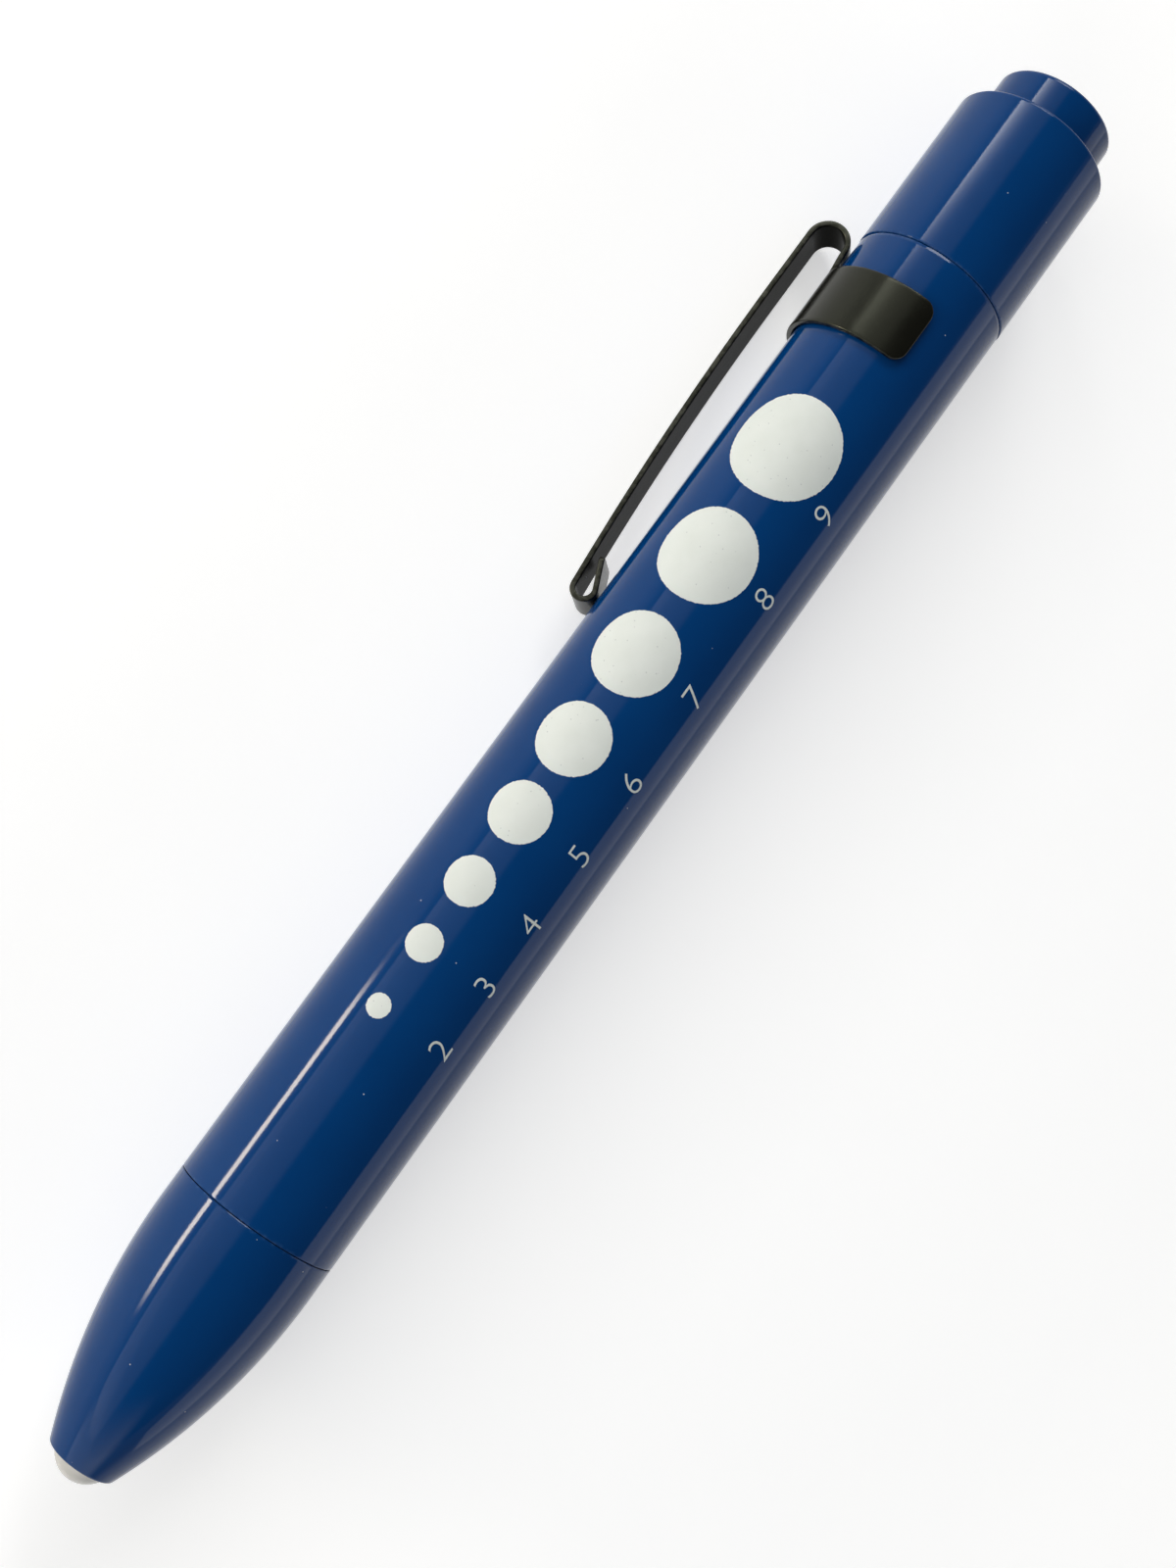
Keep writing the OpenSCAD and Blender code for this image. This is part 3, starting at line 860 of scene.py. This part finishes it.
def follow(distance):
    """Place (out, along) and heading of the strip's middle, this far from the band's lower edge."""
    spot = Vector((band_mid_r, band_start))
    heading = 0.0
    for length, turn in path:
        done = min(max(distance, 0), length)
        bend = turn * done / length
        chord = done if turn == 0 else 2 * length / turn * math.sin(bend / 2)
        spot += chord * Vector((math.sin(heading + bend / 2), math.cos(heading + bend / 2)))
        heading += bend
        distance -= done
    return spot, heading


def smooth_step(value):
    """Goes softly from 0 to 1."""
    value = min(max(value, 0), 1)
    return value * value * (3 - 2 * value)


def bend_point(point):
    """Carries a point of the flat blank (across, along, height) onto the bent clip."""
    across, distance, height = point
    spot, heading = follow(distance)
    flatten = smooth_step((distance - band_w) / stem_len)
    spot.x += stem_lift * flatten
    curve = max((1 - flatten) / band_mid_r, FLAT)
    normal = Vector((math.cos(heading), -math.sin(heading)))
    lift = (math.cos(curve * across) - 1) / curve + height * math.cos(curve * across)
    aside = math.sin(curve * across) / curve + height * math.sin(curve * across)
    spot += normal * lift
    return Vector((spot.x, aside, spot.y))


clip_end = bend_point((0, strip_len, 0))
print(f"the strip ends {clip_end.x:.1f} mm from the axis, {clip_end.z:.1f} mm up the barrel")

# %% Cutting the blank
clip_edge = 0.1
edge_segments = 3
band_corner = 1.15
stem_fillet = 0.5
tip_corner = 0.4


def only_verts(made):
    """The corners among all that an operator made."""
    return [item for item in made if isinstance(item, bmesh.types.BMVert)]


blank_outline = rounded([
    (-band_half, 0, band_corner),
    (band_half, 0, band_corner),
    (band_half, band_w, band_corner),
    (strip_w / 2, band_w, stem_fillet),
    (strip_w / 2, strip_len, tip_corner),
    (-strip_w / 2, strip_len, tip_corner),
    (-strip_w / 2, band_w, stem_fillet),
    (-band_half, band_w, band_corner)])
blank = bmesh.new()
plate = blank.faces.new([blank.verts.new((x, y, -strip / 2)) for x, y in blank_outline])
lid = bmesh.ops.extrude_face_region(blank, geom=[plate])["geom"]
bmesh.ops.translate(blank, vec=(0, 0, strip), verts=only_verts(lid))
bmesh.ops.recalc_face_normals(blank, faces=blank.faces)
rims = [edge for edge in blank.edges if edge.verts[0].co.z == edge.verts[1].co.z]
bmesh.ops.bevel(blank, geom=rims, offset=clip_edge, segments=edge_segments, profile=0.5, affect="EDGES")
print("the flat blank has", len(blank.faces), "faces")

# %% Slicing the blank
ACROSS = Vector((1, 0, 0))
LENGTHWISE = Vector((0, 1, 0))
band_slices = 72
path_slices = (26, 28, 4, 24, 26, 4)
uncut_end = 1


def slice_shape(shape, spot, direction):
    """Cuts all faces of a shape along one plane."""
    everything = shape.verts[:] + shape.edges[:] + shape.faces[:]
    bmesh.ops.bisect_plane(shape, geom=everything, plane_co=spot, plane_no=direction)


def slice_blank(first, last, count, direction):
    """Cuts the blank across at even steps, so that it can bend there."""
    for step in range(count + 1):
        slice_shape(blank, direction * (first + (last - first) * step / count), direction)


slice_blank(uncut_end - band_half, band_half - uncut_end, band_slices, ACROSS)
run = 0.0
for (length, turn), cuts in zip(path, path_slices):
    slice_blank(run, run + length, cuts, LENGTHWISE)
    run += length
print("the sliced blank has", len(blank.faces), "faces")

# %% Bending the blank
WELD = 1e-4
facing_up = 0.9
arm_start = band_w + stem_len
plain_edge_share = 0.2
pale_edge_height = strip / 2 - plain_edge_share * clip_edge
# Faces of the arm towards the barrel take the second finish, whose weak shine is painted shade.
for face in blank.faces:
    faces_barrel = face.normal.z > facing_up and face.calc_center_median().y > arm_start
    face.material_index = int(faces_barrel)
# Vertices on the edge bevels are marked for a paler colour: partly rubbed wear, partly a painted highlight.
pale_edge_layer = blank.verts.layers.float.new("edge_wear")
for vert in blank.verts:
    vert[pale_edge_layer] = 1.0 if abs(vert.co.z) < pale_edge_height else 0.0
    vert.co = bend_point(vert.co)
bmesh.ops.remove_doubles(blank, verts=blank.verts, dist=WELD)
bmesh.ops.recalc_face_normals(blank, faces=blank.faces)
print("the bent blank has", len(blank.faces), "faces")

# %% [markdown]
# ## Black enamel
# The steel is blackened and lacquered to a semi-gloss. Under a lamp it turns olive grey rather than blue
# grey, fine grain runs along the strip, a few specks of dust sit on it, and the pressed edges are painted
# paler, partly as rubbed wear and partly as a painted highlight.
# The side of the arm that faces the barrel gets the same recipe with far less shine, as painted shade:
# it stands in for a darker reflection there.

# %% Black enamel
FACTOR = 2


def black_enamel(name, shine):
    material, place = start(name)
    rim = place.node("ShaderNodeAttribute", {"attribute_name": "edge_wear"}, None, FACTOR)
    grain = place.stretched(0.6, 3, 3).noise(1.6, 4.0)
    mottle = place.noise(0.8, 3.0)
    dust = place.specks(0.8, 0.045)
    # Paler edges: partly rubbed wear, partly a painted highlight on the pressed edges.
    rubbed_and_highlit = rim * place.noise(1.6, 3.0).fade(0.4, 0.65)
    black = mottle.tint(srgb(13, 13, 10), srgb(19, 19, 15))
    colour = dust.tint((0.3 * rubbed_and_highlit).tint(black, srgb(92, 92, 86)), srgb(200, 200, 196))
    return dress(material, place, {
        "Base Color": colour,
        "Roughness": 0.16 + 0.08 * grain + 0.06 * mottle + 0.3 * dust,
        "IOR": 1.38,
        "Specular IOR Level": shine,
        "Specular Tint": srgb(250, 255, 226),
        "Normal": (0.002 * grain + 0.003 * mottle + 0.008 * dust).bump()})


full_shine = 0.5
# The copy with little shine is painted shade: it darkens the arm's side facing the barrel, in place of a darker
# reflection.
painted_shade_shine = 0.03
enamels = (black_enamel("black_enamel", full_shine), black_enamel("dull_enamel", painted_shade_shine))
clip = place_piece("clip", to_mesh(blank, "clip"), enamels)

# %% Placing the clip
flex_from = 8.7
flex_to = 10.1
flex_lean = 0.15
lean = Vector((1, 0, -flex_lean))
flex_start = Vector((flex_from, 0, fold_place))
flex_end = flex_start + lean * (flex_to - flex_from) / lean.length_squared
pen @ flex_start
pen @ flex_end
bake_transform(clip)
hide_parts("clip_band", "clip_arm")
print("the fold bends between", flex_from, "and", flex_to, "mm from the axis")

# %% [markdown]
# ## Printed gauge
# Eight white dots from 2 to 9 mm wide are pad-printed in a row, to hold beside an eye. Geometry Nodes puts
# one thin disc of ink on each point of a row, scales it by the point's own size, frays its rim a little as
# wet ink does, and wraps the lot round the barrel. A projected texture would stretch towards the sides.

# %% White ink
def white_ink():
    material, place = start("white_ink")
    patches = place.noise(0.5, 4.0)
    pores = place.specks(1.6, 0.06)
    white = patches.tint(srgb(222, 229, 224), srgb(233, 239, 236))
    return dress(material, place, {
        "Base Color": (0.5 * pores).tint(white, srgb(150, 158, 165)),
        "Roughness": 0.42 + 0.2 * patches,
        "IOR": 1.4,
        "Normal": (0.006 * place.noise(1.2, 3.0) + 0.004 * pores).bump()})


ink = white_ink()

# %% A row of points
dot_sizes = (2, 3, 4, 5, 6, 7, 8, 9)
dot_places = (18.0, 23.6, 29.2, 35.5, 42.3, 50.3, 59.7, 70.2)
dot_shrink = 0.1
row = bpy.data.meshes.new("dot_row")
row.from_pydata([(dot_place, 0, 0) for dot_place in dot_places], [], [])
row.attributes.new("dot_size", "FLOAT", "POINT").data.foreach_set(
    "value", [dot_size - dot_shrink for dot_size in dot_sizes])
print("the row has", len(row.vertices), "points")

# %% A tree for the dots
ink_lift = 0.005
disc_sides = 256
disc_rings = 8
disc_r = 0.5
rim_from = 0.42
fray_scale = 9.0
fray_detail = 2.0
fray_shifts = (0.0, 7.0)


def dots_tree(name, material):
    """A tree that puts a disc on each point of a row, frays it and wraps it round the barrel."""
    labels = ("Barrel radius", "Azimuth", "Film", "Fray", "Seed")
    tree, given = new_tree(name, dict.fromkeys(labels, "NodeSocketFloat"))
    points = given["Geometry"]
    disc = points.node("GeometryNodeMeshCylinder", {"fill_type": "TRIANGLE_FAN"}, {
        "Vertices": disc_sides, "Side Segments": 1, "Fill Segments": disc_rings,
        "Radius": disc_r, "Depth": given["Film"]})
    spot = points.node("GeometryNodeInputPosition")
    x, y, z = spot.parts()
    disc = disc.node("GeometryNodeStoreNamedAttribute", {"data_type": "FLOAT", "domain": "POINT"}, {
        "Geometry": disc, "Name": "rim", "Value": ((x * x + y * y)**0.5).fade(rim_from, disc_r)})
    size = points.node("GeometryNodeInputNamedAttribute", {"data_type": "FLOAT"}, {"Name": "dot_size"})
    scale = size.node("ShaderNodeCombineXYZ", None, {"X": size, "Y": size, "Z": 1.0})
    dots = points.node("GeometryNodeInstanceOnPoints", None, {
        "Points": points, "Instance": disc, "Scale": scale})
    dots = dots.node("GeometryNodeRealizeInstances", None, {"Geometry": dots})
    rim = points.node("GeometryNodeInputNamedAttribute", {"data_type": "FLOAT"}, {"Name": "rim"})
    ragged = [spot.node("ShaderNodeTexNoise", {"noise_dimensions": "4D"}, {
        "Vector": spot, "W": given["Seed"] + shift, "Scale": fray_scale, "Detail": fray_detail}) - 0.5
        for shift in fray_shifts]
    place = x + ragged[0] * rim * given["Fray"]
    angle = (y + ragged[1] * rim * given["Fray"]) / given["Barrel radius"] + given["Azimuth"]
    height = z + given["Barrel radius"] + ink_lift
    wrapped = spot.node("ShaderNodeCombineXYZ", None, {
        "X": height * angle.maths("COSINE", angle),
        "Y": height * angle.maths("SINE", angle),
        "Z": place})
    dots = dots.node("GeometryNodeSetPosition", None, {"Geometry": dots, "Position": wrapped})
    close_tree(dots, material)
    return tree


dot_tree = dots_tree("gauge_dots", ink)
print("dots tree has", len(dot_tree.nodes), "nodes")

# %% Dots
gauge_azimuth = 88.0
ink_film = 0.03
ink_fray = 0.22
ink_seed = 3.0
dot_mesh = grow(dot_tree, {
    "Barrel radius": barrel_r,
    "Azimuth": math.radians(gauge_azimuth),
    "Film": ink_film,
    "Fray": ink_fray,
    "Seed": ink_seed}, row)
gauge_dots = place_piece("gauge_dots", dot_mesh)
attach(gauge_dots, "barrel")

# %% [markdown]
# ## Printed numerals
# A plain number beside each dot gives its width. The digits come from Blender's own font as flat text,
# turned to a mesh before anything else, sliced so that they can bend, and laid round the barrel with their
# tops towards the dots.

# %% Flat digits
numeral_height = 1.93
stroke_offset = -0.016
text_weld = 1e-5
slice_step = 0.25
slice_reach = 4


def flat_digit(digit):
    """A digit as a flat shape, centred, sliced and in millimetres."""
    text = bpy.data.curves.new("digit", "FONT")
    text.body = str(digit)
    text.offset = stroke_offset
    shape = bmesh.new()
    shape.from_mesh(settled(bpy.data.objects.new("digit", text)))
    bmesh.ops.remove_doubles(shape, verts=shape.verts, dist=text_weld)
    xs = [vert.co.x for vert in shape.verts]
    ys = [vert.co.y for vert in shape.verts]
    zoom = numeral_height / (max(ys) - min(ys))
    centre = Vector(((max(xs) + min(xs)) / 2, (max(ys) + min(ys)) / 2, 0))
    for vert in shape.verts:
        vert.co = (vert.co - centre) * zoom
    for step in range(-slice_reach, slice_reach + 1):
        slice_shape(shape, LENGTHWISE * step * slice_step, LENGTHWISE)
    return shape


print("digits are", numeral_height, "mm tall")

# %% Numerals
numeral_azimuth = 136.8
last_place = 67.7
numeral_places = dot_places[:-1] + (last_place,)
numerals = bmesh.new()
for digit, digit_place in zip(dot_sizes, numeral_places):
    shape = flat_digit(digit)
    top = bmesh.ops.extrude_face_region(shape, geom=shape.faces[:])["geom"]
    bmesh.ops.translate(shape, vec=(0, 0, ink_film), verts=only_verts(top))
    bmesh.ops.recalc_face_normals(shape, faces=shape.faces)
    for vert in shape.verts:
        turn = math.radians(numeral_azimuth) - vert.co.y / barrel_r
        radius = barrel_r + vert.co.z - ink_film / 2 + ink_lift
        vert.co = (radius * math.cos(turn), radius * math.sin(turn), digit_place + vert.co.x)
    wrapped_digit = bpy.data.meshes.new("digit")
    shape.to_mesh(wrapped_digit)
    shape.free()
    numerals.from_mesh(wrapped_digit)
gauge_numerals = place_piece("gauge_numerals", to_mesh(numerals, "gauge_numerals"), (ink,))
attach(gauge_numerals, "barrel")

# %% [markdown]
# ## Springs
# Two springs hide inside: a conical one that presses the cells together and a small one that returns the
# button. They reuse the helix tree with a round wire. The return spring shortens when the button goes in;
# here it gets a mesh of its own.

# %% Spring wire
WIRE_SIDES = 12


def round_wire(given):
    """A circle for spring wire."""
    return given["Wire radius"].node("GeometryNodeCurvePrimitiveCircle", None, {
        "Resolution": WIRE_SIDES, "Radius": given["Wire radius"]})


def spring_wire():
    material, place = start("spring_wire")
    drawn = place.noise(5.0, 2.0)
    return dress(material, place, {
        "Base Color": drawn.tint(srgb(178, 178, 180), srgb(206, 206, 208)),
        "Metallic": 1.0,
        "Roughness": 0.22 + 0.15 * drawn,
        "Normal": (0.003 * drawn).bump()})


spring_tree = helix_tree("coil_spring", round_wire, ("Wire radius",), spring_wire())

# %% Springs
coil_points = 48


def spring(node, turns, wire, first_r, last_r):
    """A coil in the room of a CAD spring."""
    first, last = reach(node)
    mesh = grow(spring_tree, {
        "Turns": turns,
        "First radius": first_r,
        "Last radius": last_r,
        "Height": last - first - wire,
        "Points a turn": coil_points,
        "Wire radius": wire / 2})
    mesh.transform(Matrix.Translation((0, 0, first + wire / 2)))
    coil = place_piece(node + "_coil", mesh)
    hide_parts(node)
    return coil


cell_spring = spring("contact_spring", turns=3.5, wire=0.6, first_r=2.7, last_r=4.0)
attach(cell_spring, "switch")
return_spring = spring("switch_spring", turns=4.5, wire=0.4, first_r=2.5, last_r=2.5)
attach(return_spring, "switch")
press = joints["button_press"]["range_m"][1] / MM
spring_foot, spring_top = reach("switch_spring")
around(0, 0, spring_foot)
1 - press / (spring_top - spring_foot)
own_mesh(return_spring)

# %% [markdown]
# ## Inner pieces
# The CAD solids inside keep their shapes: the lamp's holder and board, two cells, contacts and the switch.
# They still get true finishes, because they show when the pen comes apart. Moulded plastic has a faint
# texture, brass is rubbed, the board is laminate with a weave, and each cell has a printed sleeve.

# %% Finishes for inner pieces
def moulded_plastic(name, colour, roughness):
    material, place = start(name)
    flow = place.noise(0.6, 3.0)
    grain = place.noise(8.0, 2.0)
    darker = tuple(0.82 * value for value in colour[:3]) + (1.0,)
    return dress(material, place, {
        "Base Color": flow.tint(darker, colour),
        "Roughness": roughness + 0.15 * grain,
        "IOR": 1.46,
        "Normal": (0.004 * grain).bump()})


def laminate():
    material, place = start("board_laminate")
    _, across, upward = place.parts()
    threads = 12
    weave = across.maths("SINE", across * threads) * upward.maths("SINE", upward * threads)
    mask = place.noise(0.9, 3.0)
    return dress(material, place, {
        "Base Color": (0.3 * weave + 0.5 * mask).tint(srgb(12, 74, 44), srgb(40, 122, 76)),
        "Roughness": 0.35 + 0.1 * weave,
        "Normal": (0.004 * weave).bump()})


def cell_sleeve():
    material, place = start("cell_sleeve")
    along_pen = place.parts()[0]
    cell_start, cell_end = reach("front_cell_can")
    share = (along_pen - cell_start) / (cell_end - cell_start)
    band = share.maths("FRACT", share).fade(0.24, 0.25)
    print_wear = place.noise(1.1, 4.0)
    foil = print_wear.tint(srgb(176, 140, 74), srgb(196, 160, 92))
    return dress(material, place, {
        "Base Color": band.tint(foil, srgb(34, 36, 40)),
        "Metallic": 0.6 - 0.6 * band,
        "Roughness": 0.28 + 0.15 * print_wear,
        "Normal": (0.003 * print_wear).bump()})


# %% Dressing the inner pieces
finish_of = {
    "tinned_wire": tinned,
    "white_plastic": moulded_plastic("white_plastic", srgb(228, 227, 220), 0.38),
    "black_plastic": moulded_plastic("black_plastic", srgb(34, 34, 36), 0.42),
    "red_plastic": moulded_plastic("red_plastic", srgb(176, 36, 30), 0.4),
    "board_laminate": laminate(),
    "resistor_body": moulded_plastic("resistor_body", srgb(26, 26, 28), 0.5),
    "contact_brass": turned_metal("contact_brass", srgb(214, 176, 104), 0.24),
    "ring_aluminium": bare_aluminium,
    "cell_metal": turned_metal("cell_metal", srgb(196, 197, 199), 0.3),
    "cell_sleeve": cell_sleeve()}
for part in frame["record"]["subparts"]:
    solid = frame["nodes"][part["node"]]
    if not solid.hide_render:
        solid.data.materials.clear()
        solid.data.materials.append(finish_of[part["material_slot"]])
        print(part["node"], "gets", part["material_slot"])

# %% [markdown]
# ## Floor and light
# The pen lies on a plain pale floor. What the camera sees of it, straight or in gloss or in clear resin,
# also glows, so it is white without more light on the pen, and the shadow stays. Far off it rises into a
# backdrop that only glows, evenly and greyer to the top, so low views have no horizon and no lamp draws an
# edge there. A glossy cylinder shows every lamp as a line, so the lamps are chosen by what they draw. A
# tall soft window with one crisp edge gives the pale band. A narrow warm strip gives the streak by the
# nose, helped by an amber one that only gloss sees. A dim panel low on the right greys that edge, a faint
# fill reaches the nose, and a large softbox past the button lights all without showing in the barrel.

# %% Floor
CAMERA_RAY, GLOSSY_RAY, CLEAR_RAY = 0, 3, 6
floor_glow = 0.55
far_glow = 0.9
wall_glow = 0.28
lit_r = 250
far_r = 650
wall_from = 20
wall_to = 500
flat_r = 1250
rise_round = 700
wall_r = 1500
wall_height = 900


def grey(value):
    """A grey of this linear value."""
    return (value, value, value, 1.0)


def pale_floor():
    material, place = start("pale_floor")
    x, y, height = place.parts()
    fibre = place.noise(0.05, 4.0)
    paper = fibre.tint(srgb(229, 229, 228), srgb(235, 235, 234))
    far = ((x * x + y * y)**0.5).fade(lit_r, far_r)
    climb = height.fade(wall_from, wall_to)
    glow = far.tint(grey(floor_glow), climb.tint(grey(far_glow), grey(wall_glow)))
    rays = (CAMERA_RAY, GLOSSY_RAY, CLEAR_RAY)
    seen = sum(place.node("ShaderNodeLightPath", None, None, ray) for ray in rays)
    return dress(material, place, {
        "Base Color": far.tint(paper, grey(0.0)),
        "Roughness": 0.9 + 0.1 * fibre,
        "Normal": (0.002 * place.noise(1.0, 2.0)).bump(),
        "Specular IOR Level": 0.0,
        "Emission Color": seen.maths("MINIMUM", seen, 1.0).tint(grey(0.0), glow),
        "Emission Strength": 1.0})


floor_outline = rounded([(0, 0, 0), (flat_r, 0, rise_round), (wall_r, wall_height, 0)])
floor_mesh = to_mesh(lathe(floor_outline, closed=False), "floor")
floor_mesh.transform(Matrix.Scale(MM, 4))
floor_mesh.materials.append(pale_floor())
floor = bpy.data.objects.new("floor", floor_mesh)
bpy.context.scene.collection.objects.link(floor)
floor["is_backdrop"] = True

# %% Soft panels
def panel(name, azimuth, place, width, length, radiance, colour=(1, 1, 1), rise=0.0, distance=900):
    """A soft lamp that looks at a place on the pen's axis, round the pen from the camera by an angle.

    Its width lies across the pen and its length along it; rise tips it over towards the button's end."""
    light = bpy.data.lights.new(name, "AREA")
    light.shape = "RECTANGLE"
    light.size = width * MM
    light.size_y = length * MM
    light.energy = radiance * math.pi * light.size * light.size_y
    light.color = colour
    lamp_object = bpy.data.objects.new(name, light)
    bpy.context.scene.collection.objects.link(lamp_object)
    middle = around(0, 0, place)
    off_axis = (around(camera_azimuth + azimuth, 1, place) - middle).normalized()
    back = math.cos(rise) * off_axis + math.sin(rise) * along
    across = along.cross(off_axis)
    lamp_object.matrix_world = (Matrix.Translation(middle + back * distance * MM)
                                @ Matrix((across, back.cross(across), back)).transposed().to_4x4())
    lamp_object.visible_camera = False
    print(f"{name}: {light.energy:.1f} W")
    return light


def grade(light, strength):
    """Lets a lamp's strength change over its face; strength gets the two places from 0 to 1."""
    light.use_nodes = True
    light.node_tree.nodes.clear()
    face = Wire(light.node_tree.nodes.new("ShaderNodeNewGeometry").outputs["Parametric"])
    across, lengthwise, _ = face.parts()
    glow = face.node("ShaderNodeEmission", None, {"Strength": strength(across, lengthwise)})
    face.node("ShaderNodeOutputLight", None, {"Surface": glow})


print("lamps are soft panels that face the pen's axis")

# %% Window
pane_glow = 0.5
rear_glow = 13


def window_glow(across, lengthwise):
    """Brightest along the left edge, and much brighter past the button."""
    edge = 1 - across
    rear = rear_glow * lengthwise.fade(0.88, 0.96) * edge**5
    return (pane_glow + edge**2 + rear) * across.fade(1, 0.8)


window = panel("window", azimuth=-25, place=-375, width=840, length=2250, radiance=1.0)
grade(window, window_glow)

# %% Warm strip
strip_azimuth = -62
strip_place = -235
strip_reach = 500
strip_width = 85
shine_width = 95
warm_white = (1.0, 0.91, 0.77)
amber = (1.0, 0.76, 0.44)


def strip_glow(across, lengthwise):
    """Dies away slowly past the nose."""
    return lengthwise.fade(0, 0.5) * lengthwise.fade(1, 0.94)


warm_strip = panel("strip", strip_azimuth, strip_place, strip_width, strip_reach,
                   radiance=34, colour=warm_white)
grade(warm_strip, strip_glow)
strip_shine = panel("strip_shine", strip_azimuth, strip_place, shine_width, strip_reach,
                    radiance=24, colour=amber)
grade(strip_shine, strip_glow)
bpy.data.objects["strip_shine"].visible_diffuse = False

# %% Edge panel, softbox and fill
softbox_rise = math.radians(52)
fill_rise = math.radians(-66)


def fill_glow(across, lengthwise):
    """Dies away at its sides and towards the button, so that it draws no corner on the nose."""
    return lengthwise.fade(1, 0.5) * across.fade(0, 0.2) * across.fade(1, 0.8)


panel("low_right", azimuth=92, place=0, width=416, length=1600, radiance=1.0)
panel("far_softbox", azimuth=-34, place=barrel_len / 2, width=1100, length=320, radiance=9.5,
      rise=softbox_rise, distance=1400)
front_fill = panel("front_fill", azimuth=0, place=-20, width=1500, length=900, radiance=1.33,
                   rise=fill_rise, distance=1000)
grade(front_fill, fill_glow)

# %% Room
room_glow = 0.08
world = bpy.data.worlds.new("room")
world.use_nodes = True
world.node_tree.nodes["Background"].inputs["Color"].default_value = grey(room_glow)
bpy.context.scene.world = world
print("the room itself glows at", room_glow)

# %% [markdown] ## Sizes The CAD box and the box round Blender's pieces, in millimetres.

# %% Sizes
bpy.context.scene.view_settings.view_transform = "Standard"
boxes = {"cad": cad_box, "visual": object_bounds()}
rows = {name: [list(corner) for corner in box] for name, box in boxes.items()}
for name, (low, high) in rows.items():
    print(name, [round((b - a) / MM, 2) for a, b in zip(low, high)], "mm")
